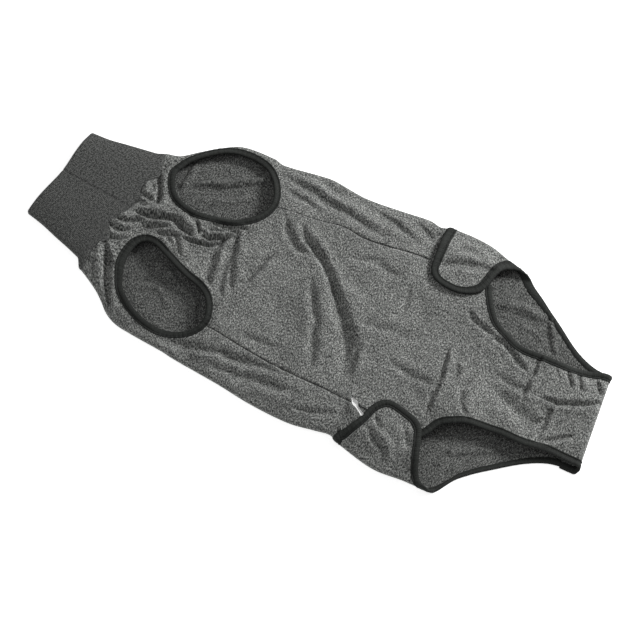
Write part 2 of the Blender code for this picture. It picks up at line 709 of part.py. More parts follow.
def collar_mesh():
    """Tube of doubled rib knit, with its free edge at the start of the grid."""
    half = COLLAR_TOP_COLUMNS + TURN_COLUMNS + FLOOR_COLUMNS

    def place(along, over):
        ring = collar_ring(1 - along)
        column = round(over * 2 * half)
        side = 1 if column < half else -1
        column = min(column, 2 * half - column)
        if column <= COLLAR_TOP_COLUMNS:
            reach = ring.arc + ring.flat * (1 - column / COLLAR_TOP_COLUMNS)
        elif column <= COLLAR_TOP_COLUMNS + TURN_COLUMNS:
            reach = ring.arc * (1 - (column - COLLAR_TOP_COLUMNS) / TURN_COLUMNS)
        else:
            reach = -ring.flat * (1 - (half - column) / FLOOR_COLUMNS)
        surface, outward = collar_side(side)
        return wall_at(surface, Vector((1 - along, reach)), RIB, outward)

    return grid_mesh("neck_collar", COLLAR_ROWS, 2 * half, place)


def label_mesh():
    """Blank strip that lies on the cloth at the end of a side seam."""
    run = Vector((math.cos(LABEL_HEADING), math.sin(LABEL_HEADING)))
    corner = Vector((LABEL_PLACE.along * BODY_LENGTH, LABEL_PLACE.across * BODY_WIDTH))

    def place(along, over):
        offset = (over - 0.5) * LABEL_WIDTH
        spot = corner + run * along * LABEL_LENGTH + Vector((-run.y, run.x)) * offset
        inner = Vector((spot.x, spot.y, upper(spot.x, spot.y) + 2 * GAP))
        return inner + Vector((0, 0, LABEL_WALL)), inner

    return grid_mesh("care_label", 4, 1, place)


def bind_leg_opening(name, opening, cloths):
    """Front leg opening: cut through the cloth on both sides of the seam, and taped."""
    add_piece(name, leg_tape_mesh(name, opening), TAPE)
    prism = add_cutter(name + "_hole", leg_prism_mesh(name + "_hole", opening))
    for cloth in cloths:
        cut(cloth, prism)


def stand_on_origin():
    """Put the middle of the suit's box, on the floor, at the origin."""
    depsgraph = bpy.context.evaluated_depsgraph_get()
    corners = []
    for thing in parts.objects:
        corners += [vertex.co for vertex in thing.evaluated_get(depsgraph).data.vertices]
    middle = [(min(c[axis] for c in corners) + max(c[axis] for c in corners)) / 2
              for axis in range(2)]
    frame = bpy.data.objects.new("suit_frame", None)
    parts.objects.link(frame)
    frame.location = (-middle[0], -middle[1], 0.0)
    for thing in list(parts.objects) + list(cutters.objects):
        if thing is not frame:
            thing.parent = frame


for old in list(bpy.data.objects):
    bpy.data.objects.remove(old, do_unlink=True)
parts = bpy.data.collections.new("dog_recovery_suit")
cutters = bpy.data.collections.new("room_for_tapes")
bpy.context.scene.collection.children.link(parts)
bpy.context.scene.collection.children.link(cutters)

HIP_EDGES = {}
for side, wing in ((1, WING_LEFT), (-1, WING_RIGHT)):
    edge = inset_line(hip_line(wing), -1, BINDING_WIDTH + GAP)
    HIP_EDGES[side] = (edge, side_places(edge))

add_piece("neck_collar", collar_mesh(), RIB_KNIT)
back_panel = add_piece("back_panel", back_panel_mesh(), JERSEY)
belly_panel = add_piece("belly_panel", belly_panel_mesh(), JERSEY)
bind_leg_opening("front_leg_binding_left", LEG_OPENING_LEFT, (back_panel, belly_panel))
bind_leg_opening("front_leg_binding_right", LEG_OPENING_RIGHT, (back_panel, belly_panel))
for name, wing, side in (("hip_binding_left", WING_LEFT, 1), ("hip_binding_right", WING_RIGHT, -1)):
    add_piece(name, hip_tape_mesh(name, wing, side), TAPE)
for name, edge, inward in (("belly_binding_left", BELLY_LEFT, -1),
                           ("belly_binding_right", BELLY_RIGHT, 1)):
    add_piece(name, belly_tape_mesh(name, edge, inward), TAPE)
add_piece("care_label", label_mesh(), LABEL)
bpy.context.view_layer.update()
stand_on_origin()
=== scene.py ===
"""Looks of a dog recovery suit that lies belly up: heather jersey, rib collar and folded tape.

Metres, +Z up. The cloth is drawn in the suit's own coordinates, X from the neckline to the tail
and Y to the dog's left, and then set down where the solids are. Folds and creases are written in
millimetres from a mark in the middle of the suit.
"""
import math

import bmesh
import bpy
import numpy as np
from mathutils import Matrix, Vector


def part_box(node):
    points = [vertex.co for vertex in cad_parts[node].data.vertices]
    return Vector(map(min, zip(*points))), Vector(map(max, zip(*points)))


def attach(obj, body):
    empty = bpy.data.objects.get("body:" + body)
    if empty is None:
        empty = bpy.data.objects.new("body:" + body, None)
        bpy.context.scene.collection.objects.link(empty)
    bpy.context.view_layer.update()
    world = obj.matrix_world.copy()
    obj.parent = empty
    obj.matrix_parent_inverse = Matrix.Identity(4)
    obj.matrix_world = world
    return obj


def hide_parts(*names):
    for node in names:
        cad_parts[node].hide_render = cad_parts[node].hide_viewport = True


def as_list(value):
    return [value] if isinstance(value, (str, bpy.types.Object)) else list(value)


# Sizes in metres. The first ones are shared with the solids.
BODY_LENGTH = 0.572
BODY_WIDTH = 0.290
COLLAR_LENGTH = 0.088
COLLAR_WIDTH = 0.122
PUFF = 0.0165
TURN_RADIUS = 0.0045
JERSEY_WALL = 0.0015
RIB_WALL = 0.0024
TAPE_WIDTH = 0.0086
TAPE_WALL = 0.0030
WING_LIFT = 0.0046
WING_BLEND = 0.025
TAIL_TURN_UNDER = 0.020
TAIL_PLACE = 0.993
TAIL_LEAN = 0.05
NECK_SLANT = 0.027
NECK_PIVOT = 0.26
NECK_FADE = 0.030
NECK_JAG_FADE = 0.013  # how far behind the neckline its jags die out
NECK_TOP = -0.0065  # the upper layer's neckline without its jags, and its slant
NECK_TOP_SLANT = 0.083
COLLAR_SLANT = 0.0145
SEAM_GAP = 0.0005
SLIT = 0.572  # share of the body's length at which the hip wings are cut free
UNDERLAP = 0.010  # how far the side cloth runs on below a wing
LOWEST = 0.0042  # how near the floor a crease of the upper layer may come
HIGHEST = 0.0046  # how far a ridge may stand above the laid cloth
FOLD_FADE = 0.012  # how far from a side turn the folds die out
FOLD_EASE = 0.35  # share of its length over which a fold dies out
FOLD_GAIN = 1.5  # strength of all the folds in the tables
TOP_RIPPLE, WING_RIPPLE, RIB_RIPPLE = 0.0019, 0.0005, 0.00035
RIB_GROOVE = 0.0013  # depth of the collar's groove along its seam
SECTION_SHIFT = 0.0008  # how far the body's sections lie to the dog's left
CLEAR = 0.0003  # what the cloth's inner side keeps from what lies below
UNDER_DROP = 0.0012  # how much lower the strips lie where they run under the wings
NECK_SHOWN = (0.001, 1.9)  # the neckline's marks: metres they are moved along, mm across
SEAM_SEEN = {1: 0.030, -1: 0.110}  # how far before the mark each side seam begins to show
MARK = 0.237  # from the neckline to the mark that folds are measured from
MARK_LEVEL = 0.008  # height of the level on which places were read
FLOOR_LEVEL = 0.001 - MARK_LEVEL  # height of the floor layer over that level
MARK_LEAN = (0.193, -0.378)  # how far a place moves for each length it lies above that level
GRID = 0.0018  # spacing of the belly cloth's rows
BACK_GRID = 0.0022  # spacing of the back cloth's rows
LINE_STEP = 0.0012  # spacing of the points on an edge
PLAN_SHIFT = 0.12  # from the middle of the back cloth's plan to the floor's edge
TAPE_PULL = 0.95  # share of its width that a stretched tape has left
TAPE_END = 0.0016  # length of a tape's rounded end
TAPE_TIP = math.sqrt(0.02)  # share of its wall that is left at its very tip
GATHER, GATHER_PITCH = 0.00013, 0.0052  # height and length of a tape's gathers
LABEL_WALL = 0.0004
SLIT_X = SLIT * BODY_LENGTH
BUTT = BODY_LENGTH - TAIL_TURN_UNDER  # where the back panel ends at the tail
SIDE_HEIGHT = 2 * TURN_RADIUS  # of the upper layer where it meets the side turns
ON_TOP = 3 * TURN_RADIUS  # a height that stands for the upper layer

# In thousandths. Outline and height of the body and of the collar: place along, low and high
# edge, rise and side turn
SECTIONS = (
    (0, -307, 279, 880, 1000), (30, -357, 296, 920, 1000), (60, -416, 345, 960, 1000),
    (90, -445, 393, 1000, 1000), (130, -455, 441, 1000, 1000), (200, -464, 452, 980, 1000),
    (222, -470, 443, 970, 1000), (300, -481, 467, 960, 1000), (327, -485, 472.5, 965, 1000),
    (400, -500, 459, 1000, 1000), (480, -501, 473, 1000, 1000), (535, -481, 486, 950, 1000),
    (560, -473, 479, 920, 1000), (585, -491, 495, 900, 1000), (660, -519, 495, 880, 1000),
    (720, -509, 463, 840, 1000), (765, -504, 438, 820, 1000), (785, -490, 426, 800, 1000),
    (810, -409, 376, 790, 0), (860, -317, 309, 770, 0), (910, -243, 244, 740, 0),
    (950, -203, 218, 720, 0), (1000, -193, 219, 680, 0),
)
COLLAR_SECTIONS = (
    (140, -628, 629, 860, 1000), (300, -590, 611, 850, 1000), (500, -548, 588, 840, 1000),
    (750, -492, 558, 830, 1000), (1000, -451, 549, 820, 1000),
)
# In thousandths of length and width: the edges of the belly panel and of the hip wings, for the
# dog's left, 1, and right, -1
BELLY_EDGES = {
    1: ((0, 228), (260, 266), (383, 303), (441, 300), (537, 328), (600, 336), (670, 352),
        (700, 345), (709, 310), (726, 259), (747, 214), (773, 190), (799, 172), (834, 169),
        (904, 179), (939, 193), (970, 212), (1000, 212)),
    -1: ((0, -214), (257, -297), (414, -321), (502, -321), (589, -324), (677, -335), (712, -330),
         (722, -303), (733, -259), (755, -231), (782, -207), (834, -193), (886, -190), (921, -178),
         (950, -170), (1000, -170)),
}
BELLY_TAPE_START = {1: 0.590, -1: 0.618}
TAIL_SPREAD = {1: 0.0020, -1: -0.0078}  # how far the turned-under edge shows beside the upper one
WING_EDGE = {
    1: ((575, 345), (581, 297), (598, 264), (624, 252), (650, 256), (674, 276), (690, 305),
        (696, 345), (700, 390), (710, 422), (729, 440), (753, 446)),
    -1: ((578, -425), (592, -362), (601, -302), (615, -262), (633, -246), (659, -252), (688, -268),
         (706, -295), (716, -336), (724, -386), (735, -440), (749, -478), (766, -496)),
}
WING_START = {1: (0.0, 0.0), -1: (-0.0044, -0.0008)}  # lean of the tape as it comes round the side
# Where tapes lie broader: place, gain and spread
BROAD_HIP_TAPE = {1: ((0.327, 0.34, 0.005), (0.432, 0.52, 0.028)), -1: ((0.323, 0.30, 0.008),)}
BROAD_BELLY_TAPE = ((BODY_LENGTH, 0.08, 0.025),)
LEG_CENTRE = (0.143, 0.252)  # middle of the left front leg opening

# Millimetres from the mark, along and across: the neckline as it shows on top, the outer edge of
# each front leg opening's tape, and the middle of the label
NECKLINE = (
    (-252, -92), (-250, -77), (-252, -65), (-246, -50), (-240, -45), (-249, -24), (-245, -15),
    (-240, -5), (-236, 4), (-232, 18), (-237, 28), (-236, 36), (-228, 57), (-235, 72), (-237, 80),
    (-236, 92),
)
LEG_EDGES = {
    1: ((-221, 62), (-210, 40), (-197, 29), (-180, 24), (-163, 24), (-145, 28), (-128, 33),
        (-112, 41), (-99, 53), (-92, 68), (-91, 82), (-96, 97), (-106, 111), (-121, 122),
        (-141, 126.5), (-160, 125), (-176, 119), (-191, 109), (-205, 95), (-216, 79)),
    -1: ((-220, -36), (-212, -23), (-200, -16.5), (-185, -18), (-170, -25), (-155, -31),
         (-138, -36), (-120, -41), (-105, -51), (-95, -66), (-92, -83), (-99, -100),
         (-113, -112), (-131, -119), (-150, -119.5), (-170, -115), (-190, -104), (-206, -90),
         (-216, -72), (-221, -54)),
}
LABEL_LINE = ((86, -89), (90, -92.5), (96, -97), (105, -103))

# Folds of the upper layer: half width and depth in millimetres, and the line that each follows.
# A negative depth is a ridge.
BELLY_FOLDS = (
    (5.0, 4.4, ((-58, 70), (-40, 57), (-20, 45), (0, 29), (15, 15), (28, 2))),
    (8.5, 4.6, ((2, 25), (18, 10), (34, -8), (50, -28), (60, -48), (67, -78))),
    (6.0, 2.8, ((-18, 18), (0, -10), (10, -25), (20, -50), (28, -75), (25, -90))),
    (5.0, 2.2, ((-78, 72), (-70, 60), (-60, 50), (-45, 43), (-28, 42))),
    (4.5, 2.8, ((-112, 32), (-105, 0), (-95, -25), (-86, -40))),
    (4.2, 3.8, ((-69, 24), (-76, -5), (-86, -37))),
    (4.0, 2.0, ((-125, 27), (-125, 5), (-128, -15), (-124, -38))),
    (6.0, 1.2, ((50, -5), (90, 0), (122, 8))),
    (3.4, 3.2, ((153, 18), (157, -8), (163, -40), (162, -70))),
    (4.0, 3.0, ((193, -10), (186, -28), (193, -42), (207, -55))),
    (3.0, 3.6, ((248, 48), (247, 18), (250, -10))),
    (3.6, 3.0, ((330, 32), (316, 20), (302, 11), (286, 4), (264, 3))),
    (3.0, 2.4, ((301, 10), (298, -6))),
    (3.8, 2.2, ((279, -16), (262, -40))),
    (3.0, 3.0, ((281, 0), (281, -22), (282, -46))),
    (3.2, 2.4, ((314, -20), (296, -36), (284, -46))),
    (3.4, 2.0, ((186, 40), (206, 44), (228, 30), (242, 20))),
    (2.4, 2.0, ((253, 42), (257, 26))),
    (2.6, 2.6, ((281, 44), (285, 36), (291, 26))),
    (2.6, 2.6, ((294, 46), (298, 38), (301, 28))),
    (2.4, 1.8, ((268, 42), (271, 32))),
    (2.6, 2.2, ((313, 50), (323, 34))),
    (3.4, 1.8, ((150, 62), (172, 50), (196, 44))),
    (3.0, 1.8, ((169, 2), (175, -14), (172, -24))),
    (4.0, 1.4, ((84, 60), (90, 30), (88, 5))),
    (5.0, 1.2, ((70, 60), (40, 66), (5, 58))),
    (4.0, 1.6, ((66, -20), (68, -50), (74, -75))),
    (5.0, 1.2, ((-60, -78), (-20, -73))),
    (5.0, 1.3, ((100, -30), (135, -38), (165, -34))),
    (5.0, 1.2, ((205, 12), (235, 2), (268, 8))),
    (9.0, 2.2, ((212, -6), (244, -20), (276, -26))),
    # the crumpled chest
    (4.4, 7.4, ((-230, 1), (-214, 3), (-198, 10), (-186, 13), (-172, 7), (-153, 0))),
    (2.4, 4.6, ((-170, -6), (-150, -2), (-138, 2), (-127, 10), (-127, 26))),
    (2.4, 3.6, ((-152, 20), (-148, 10), (-140, 8), (-133, 13), (-126, 20))),
    (3.0, -4.6, ((-180, 24), (-170, 14), (-158, 11))),
    (3.2, -4.8, ((-150, 9), (-142, 15), (-132, 20), (-116, 27))),
    (2.8, -3.0, ((-124, 33), (-112, 31), (-107, 14))),
    (2.2, 3.6, ((-164, 22), (-157, 15), (-152, 8))),
    (2.4, 4.6, ((-150, 27), (-131, 31), (-108, 38))),
    (2.6, 3.4, ((-216, -12), (-200, -4), (-186, 2))),
    (2.4, 2.4, ((-196, -12), (-184, -7), (-172, -5))),
    (2.6, 2.2, ((-203, 22), (-192, 19), (-178, 24))),
    (4.8, 2.4, ((-113, 27), (-111, 0), (-104, -30), (-95, -46))),
    (2.8, -2.0, ((-191, -12), (-180, -19), (-171, -25))),
    (2.8, 2.6, ((-178, -2), (-168, -14), (-158, -26))),
    (4.0, 2.6, ((-129, 2), (-123, -12), (-121, -30), (-112, -44))),
    # gathers behind the neckline
    (2.6, 3.0, ((-230, 64), (-222, 78))),
    (3.0, 5.0, ((-229, 56), (-219, 38), (-212, 17))),
    (3.6, -2.6, ((-231, 56), (-236, 40), (-232, 27))),
    (2.8, 2.2, ((-236, 24), (-219, 22))),
    (2.8, -1.8, ((-238, 17), (-218, 17))),
    (2.8, 2.6, ((-250, -16), (-232, -12), (-216, -4))),
    (2.8, 2.4, ((-252, -26), (-234, -26), (-222, -20))),
    (2.6, -1.8, ((-250, -19), (-230, -20))),
    (2.6, 2.2, ((-246, -38), (-230, -37), (-223, -32))),
    (3.6, -3.0, ((-246, -46), (-243, -62), (-242, -78))),
    (2.2, 3.0, ((-240, -46), (-234, -58), (-231, -70))),
    (4.2, 5.0, ((-232, -58), (-226, -70))),
)
# Folds of the cloth beyond the side seams
SIDE_FOLDS = (
    (5.0, 1.9, ((-103, 117), (-70, 113), (-35, 108), (0, 103), (34, 98))),
    (4.5, -1.4, ((-110, 126), (-50, 119), (0, 112), (62, 105))),
    (4.0, 1.9, ((-80, 131), (-30, 130), (10, 125), (50, 116), (74, 109))),
    (3.6, 1.4, ((-96, 104), (-70, 98), (-45, 97))),
    (6.0, 2.6, ((-116, -118), (-88, -112), (-60, -107), (-20, -101), (4, -97))),
    (7.0, 1.8, ((-92, -129), (-30, -119), (34, -111))),
    (4.0, 1.4, ((30, -132), (60, -120), (80, -110))),
    (4.0, 1.8, ((52, 134), (72, 126), (84, 116))),
    (3.6, 6.5, ((-236, -50), (-229, -64), (-222, -78), (-213, -93), (-204, -108), (-195, -122))),
    (3.6, -2.8, ((-244, -56), (-236, -74), (-225, -92), (-212, -111))),
    (3.0, -1.8, ((-232, 84), (-226, 74), (-223, 60))),
)
TOP_FOLDS = BELLY_FOLDS + SIDE_FOLDS
WING_FOLDS = (
    (5.0, 3.8, ((102, 97), (120, 106), (158, 118))),
    (4.0, 1.4, ((112, 128), (135, 124), (150, 122))),
    (4.5, -1.2, ((104, 112), (128, 119))),
    (3.0, 1.8, ((117, -93), (126, -106))),
    (4.0, 2.8, ((114, -109), (125, -118), (140, -127), (152, -139))),
    (3.6, 1.6, ((150, -92), (158, -104), (166, -112))),
    (4.0, -1.2, ((126, -108), (146, -120))),
)
# Rises of the lower layer, which show through the openings
FLOOR_FOLDS = (
    (4.2, -4.4, ((-194, 58), (-176, 68), (-160, 76), (-130, 95), (-106, 110))),
    (3.2, -3.0, ((-198, 88), (-197, 46))),
    (4.5, -1.6, ((-180, 42), (-150, 56), (-118, 78))),
    (5.0, -2.2, ((-196, -48), (-170, -44), (-120, -66), (-104, -92))),
    (4.0, -1.6, ((-190, -80), (-160, -70), (-135, -88))),
    (7.0, -2.6, ((178, 79), (196, 89), (212, 92), (240, 89))),
    (2.6, -3.0, ((238, 96), (248, 78), (262, 56))),
    (3.2, -1.4, ((205, 74), (228, 70), (244, 62))),
    (4.0, -1.6, ((190, -98), (214, -92), (250, -74))),
    (3.0, -1.2, ((196, -122), (206, -104), (210, -86))),
)

# Section round a folded tape: inset from its free edge and height, as shares of width and half wall
TAPE_SECTION = (
    (0.00, 0.10), (0.03, 0.70), (0.10, 1.05), (0.22, 1.28), (0.36, 1.32), (0.50, 1.22),
    (0.62, 1.02), (0.68, 0.90), (0.71, 0.70), (0.75, 0.70), (0.79, 0.90), (0.88, 0.98),
    (0.96, 0.85), (1.00, 0.20), (0.97, -0.50), (0.80, -0.85), (0.50, -1.00), (0.20, -1.00),
    (0.04, -0.60),
)

# Colours, as linear shares of white
FLECK_DARK, FLECK_MID = (0.026, 0.027, 0.026), (0.150, 0.154, 0.148)
FLECK_LIGHT = (0.46, 0.47, 0.45)
RIB_DARK, RIB_LIGHT = (0.030, 0.031, 0.030), (0.165, 0.168, 0.162)
# the tape's light tone is partly its fibres and partly a painted highlight along the tape's crown
TAPE_DARK, TAPE_LIGHT = (0.008, 0.009, 0.008), (0.036, 0.039, 0.036)
LABEL_WHITE, FLOOR_WHITE = (0.86, 0.86, 0.85), (0.94, 0.94, 0.94)
INNER_PAINTED_SHADE = 0.38  # share of black painted on the cloth's inner side: painted shade for the insides seen through the openings

# The camera's place as seen from the suit, and the lights' places, sizes and powers
AZIMUTH, ELEVATION, DISTANCE, LENS = math.radians(27.0), math.radians(67.0), 1.955, 100.0
LOOK_AT = Vector((0.0125 + MARK, -0.0205, 0.0))
LIGHTS = (("key", (1.00, 1.60, 1.10), 0.60, 47), ("fill", (-1.2, -0.6, 1.9), 1.6, 6))
SKY_LIGHT, FLOOR_GLOW = 0.27, 0.70


def smooth(share):
    """Ease from 0 to 1, flat at both ends."""
    share = np.clip(share, 0.0, 1.0)
    return share * share * (3 - 2 * share)


def bell(off, spread):
    """Bell curve, 1 in its middle."""
    return np.exp(-(off / spread) ** 2)


def rounded(share):
    """Quarter circle, from 0 to 1."""
    return np.sqrt(np.maximum(1 - (1 - np.clip(share, 0.0, 1.0)) ** 2, 0.0))


def unit(vectors):
    """Vectors brought to a length of 1."""
    return vectors / np.maximum(np.linalg.norm(vectors, axis=-1, keepdims=True), 1e-12)


def read_curve(places, values, along):
    """Values of a smooth curve through given ones."""
    last = len(places) - 1
    before = np.maximum(np.arange(last + 1) - 1, 0)
    after = np.minimum(np.arange(last + 1) + 1, last)
    slopes = (values[after] - values[before]) / (places[after] - places[before])
    along = np.clip(along, places[0], places[last])
    k = np.clip(np.searchsorted(places, along, side="right") - 1, 0, last - 1)
    span = places[k + 1] - places[k]
    t = (along - places[k]) / span
    start = (2 * t ** 3 - 3 * t ** 2 + 1) * values[k] + (t ** 3 - 2 * t ** 2 + t) * span * slopes[k]
    end = (3 * t ** 2 - 2 * t ** 3) * values[k + 1] + (t ** 3 - t ** 2) * span * slopes[k + 1]
    return start + end


def read_rows(rows, along):
    """Curves through a table's columns, by the places in its first one."""
    places, *columns = np.array(rows, float).T / 1000
    return [read_curve(places, values, along) for values in columns]


class Ring:
    """Sections across the suit: flat below, turned up at both sides and crowned above."""

    def __init__(self, low, high, rise, turn):
        self.middle = (low + high) / 2
        self.rise = rise
        self.turn = np.maximum(turn, 0.0)
        self.flat = (high - low) / 2 - self.turn
        self.arc = math.pi * self.turn

    def crown(self, y):
        """Height of the upper layer."""
        off = np.abs(y - self.middle)
        top = SIDE_HEIGHT + (self.rise - SIDE_HEIGHT) * (1 - np.minimum(off / self.flat, 1) ** 4)
        over = np.clip(off - self.flat, 0.0, self.turn)
        return top - (self.turn - np.sqrt(np.maximum(self.turn ** 2 - over ** 2, 0.0)))

    def from_side(self, y):
        """Distance of a place on the upper layer from the side turn."""
        return self.flat - np.abs(y - self.middle)

    def wrap(self, reach, side):
        """Across and height of the cloth's outside at a reach from the floor's edge."""
        turn = np.maximum(self.turn, 1e-9)
        angle = np.clip(reach / turn, 0.0, math.pi)
        bent_y = self.middle + side * (self.flat + turn * np.sin(angle))
        over_y = self.middle + side * (self.flat + self.arc - reach)
        low, top = reach <= 0, reach >= self.arc
        y = np.where(low, self.middle + side * (self.flat + reach), np.where(top, over_y, bent_y))
        bent_z = turn - turn * np.cos(angle)
        return y, np.where(low, 0.0, np.where(top, self.crown(over_y), bent_z))


def body_ring(x):
    """Section of the body at distances from the neckline."""
    low, high, rise, turn = read_rows(SECTIONS, x / BODY_LENGTH)
    return Ring(low * BODY_WIDTH + SECTION_SHIFT, high * BODY_WIDTH + SECTION_SHIFT, rise * PUFF,
                turn * TURN_RADIUS)


def collar_ring(share):
    """Section of the collar, which leaves the neckline at the body's own width."""
    low, high, rise, turn = read_rows(COLLAR_SECTIONS, share)
    blend = smooth(share / (COLLAR_SECTIONS[0][0] / 1000))
    body_low, body_high = (edge / 1000 * BODY_WIDTH for edge in SECTIONS[0][1:3])
    return Ring(body_low + (low * COLLAR_WIDTH - body_low) * blend,
                body_high + (high * COLLAR_WIDTH - body_high) * blend,
                rise * PUFF, turn * TURN_RADIUS)


def over_level(x, y, lift=0.0):
    """Height of the upper layer above the level on which places were read."""
    ring = body_ring(x)
    return ring.crown(y) + lift * smooth(ring.from_side(y) / WING_BLEND) - MARK_LEVEL


def leant(x, y, over):
    """Where a place read off at the level lies, for a height over it."""
    return x + MARK_LEAN[0] * over, y + MARK_LEAN[1] * over


def belly_edge(side, x):
    """Across value of the belly panel's edge at distances along the suit."""
    read = read_rows(BELLY_EDGES[side], x / BODY_LENGTH)[0] * BODY_WIDTH
    over = over_level(x, read)
    shown = (x - MARK_LEAN[0] * over) / BODY_LENGTH
    return read_rows(BELLY_EDGES[side], shown)[0] * BODY_WIDTH + MARK_LEAN[1] * over


def run_lengths(points):
    """Length of a line up to each of its points."""
    steps = np.linalg.norm(np.diff(points, axis=0), axis=1)
    return np.concatenate([[0.0], np.cumsum(steps)])


def waver(first, second, slow, phase, quick, cross):
    """Drift of the folds' lines from the ones in the tables, in millimetres."""
    return 0.8 * np.sin(first / slow + phase) + 0.5 * np.sin(first / quick + second / cross)


def fold_relief(folds, x, y):
    """Height of a set of folds, each a valley between two low ridges that dies out at its ends."""
    along, across = (x - MARK) * 1000, y * 1000
    along, across = (along + waver(across, along, 7.3, 1.1, 3.1, 9),
                     across + waver(along, across, 8.1, 0.4, 3.7, -11))
    total = np.zeros_like(along)
    for width, depth, line in folds:
        points = np.array(line, float)
        lengths = run_lengths(points)
        (fore, right), (aft, left) = points.min(0) - 4 * width, points.max(0) + 4 * width
        near = (along > fore) & (along < aft) & (across > right) & (across < left)
        if not near.any():
            continue
        px, py = along[near], across[near]
        best, place, hand = np.full(px.shape, 1e9), np.zeros_like(px), np.zeros_like(px)
        for (ax, ay), (bx, by), start in zip(points, points[1:], lengths):
            run = math.hypot(bx - ax, by - ay)
            ux, uy = (bx - ax) / run, (by - ay) / run
            t = np.clip((px - ax) * ux + (py - ay) * uy, 0.0, run)
            off = np.hypot(px - ax - ux * t, py - ay - uy * t)
            closer = off < best
            best = np.where(closer, off, best)
            place = np.where(closer, start + t, place)
            hand = np.where(closer, np.sign(ux * (py - ay) - uy * (px - ax)), hand)
        ease = FOLD_EASE * lengths[-1]
        ends = smooth(place / ease + 0.25) * smooth((lengths[-1] - place) / ease + 0.25)
        off = best / (width * (0.45 + 0.55 * ends))
        valley = 0.72 * (1 - off ** 2) * np.exp(-off ** 2 / 2) + 0.28 * np.exp(-2.4 * off)
        lap = 0.30 * hand * np.tanh(2.4 * off) * bell(off, 2.1)
        total[near] -= depth * ends * (valley - lap)
    return total * FOLD_GAIN / 1000


def ripple(x, y, size, count, seed):
    """Slight unevenness of laid cloth: a sum of broad waves."""
    rng = np.random.default_rng(seed)
    total = np.zeros_like(x)
    for _ in range(count):
        length = rng.uniform(0.018, 0.120)
        heading, phase = rng.uniform(0, math.pi), rng.uniform(0, math.tau)
        wave = (x * math.cos(heading) + y * math.sin(heading)) * math.tau / length + phase
        total += np.sin(wave) * length / 0.060
    return total * size / math.sqrt(count)


def floor_slant(y):
    """How far the floor layer's rows by the neckline lie from straight across."""
    return -NECK_SLANT * (NECK_PIVOT - y / BODY_WIDTH)


def neck_shift(y, height, x=0.0):
    """How far the rows by the neckline lie from straight across: jagged on top, slanted below."""
    values, places = np.array(NECKLINE, float).T
    top = read_curve(places, values, y * 1000 + NECK_SHOWN[1]) / 1000 + MARK + NECK_SHOWN[0]
    slant, below = NECK_TOP + NECK_TOP_SLANT * y, floor_slant(y)
    share = smooth((height - TURN_RADIUS) / TURN_RADIUS)
    near = np.clip(1 - x / NECK_JAG_FADE, 0.0, 1.0) ** 1.5
    far = np.clip(1 - x / NECK_FADE, 0.0, 1.0) ** 1.5
    return (below + (slant - below) * share) * far + (top - slant) * share * near


def settle(x, y, z, level):
    """Lean the first rows of the body over to the neckline, by the height of the laid layer."""
    return np.stack([x + neck_shift(y, level, x), y, z], -1)


def bounded(relief, room):
    """Relief that keeps above what lies a room below, and doesn't stand up far."""
    room = np.maximum(room, CLEAR)
    return np.where(relief > 0, HIGHEST * np.tanh(relief / HIGHEST), room * np.tanh(relief / room))


def seam_dip(x, y):
    """Groove along both side seams, where the cloth is sewn."""
    dip = np.zeros_like(x)
    for side in (1, -1):
        off = np.abs(y - belly_edge(side, x)) * 1000
        seen = smooth((x - MARK + SEAM_SEEN[side]) / 0.030)
        dip += (0.10 + 1.10 * seen) * bell(off, 1.3)
    return dip * smooth((SLIT_X + 0.02 - x) / 0.03) / 1000


def calm(x, y):
    """Share of the folds that is left close to a front leg opening's tape."""
    left = np.full(x.shape, 1.0)
    px, py = x.ravel()[:, None], y.ravel()[:, None]
    for side in (1, -1):
        line = leg_edge(side)[::4]
        off = np.min(np.hypot(px - line[:, 0], py - line[:, 1]), axis=1).reshape(x.shape)
        left = np.minimum(left, smooth(off / 0.006) * 0.75 + 0.25)
    return left


def relief_at(folds, x, y, over, size, seed):
    """Folds and unevenness of a layer that lies a height over the level of its marks."""
    return fold_relief(folds, *leant(x, y, -over)) + ripple(x, y, size, 26, seed)


def top_relief(x, y, ring):
    """Folds, unevenness and seams of the upper layer."""
    leaned = x + neck_shift(y, ON_TOP, x)
    relief = relief_at(TOP_FOLDS, leaned, y, over_level(x, y), TOP_RIPPLE, 5)
    return relief * smooth(ring.from_side(y) / FOLD_FADE) * calm(x, y) - seam_dip(x, y)


def upper(x, y):
    """Height of the outside of the upper layer."""
    ring = body_ring(x)
    laid = ring.crown(y)
    return laid + bounded(top_relief(x, y, ring), laid - LOWEST)


def top_cloth(x, y):
    """Outside of whatever cloth lies at a place of the upper layer."""
    return settle(x, y, upper(x, y), ON_TOP)


def tail_turn(y):
    """Radius of the tail fold, and where it starts along the suit."""
    crease = BODY_LENGTH * (TAIL_PLACE - TAIL_LEAN * y / BODY_WIDTH)
    radius = body_ring(crease).crown(y) / 2
    return radius, crease - radius


def belly_end(y):
    """Travel at which the belly panel ends, round the tail fold and back to the back panel."""
    radius, start = tail_turn(y)
    return start + math.pi * radius + start - BUTT


def belly_surface(travel, y):
    """Outside of the belly panel: travel runs along the suit, then round the tail fold."""
    radius, start = tail_turn(y)
    height = upper(np.minimum(travel, start), y)
    angle = np.clip((travel - start) / radius, 0.0, math.pi)
    drop = (height - 2 * radius) * (1 - angle / math.pi)
    past = np.maximum(travel - start - math.pi * radius, 0.0)
    turned = travel > start
    x = np.where(turned, start + radius * np.sin(angle) - past, travel)
    z = np.where(turned, radius + drop + radius * np.cos(angle), height)
    return settle(x, y, np.maximum(z, 0.0), ON_TOP)


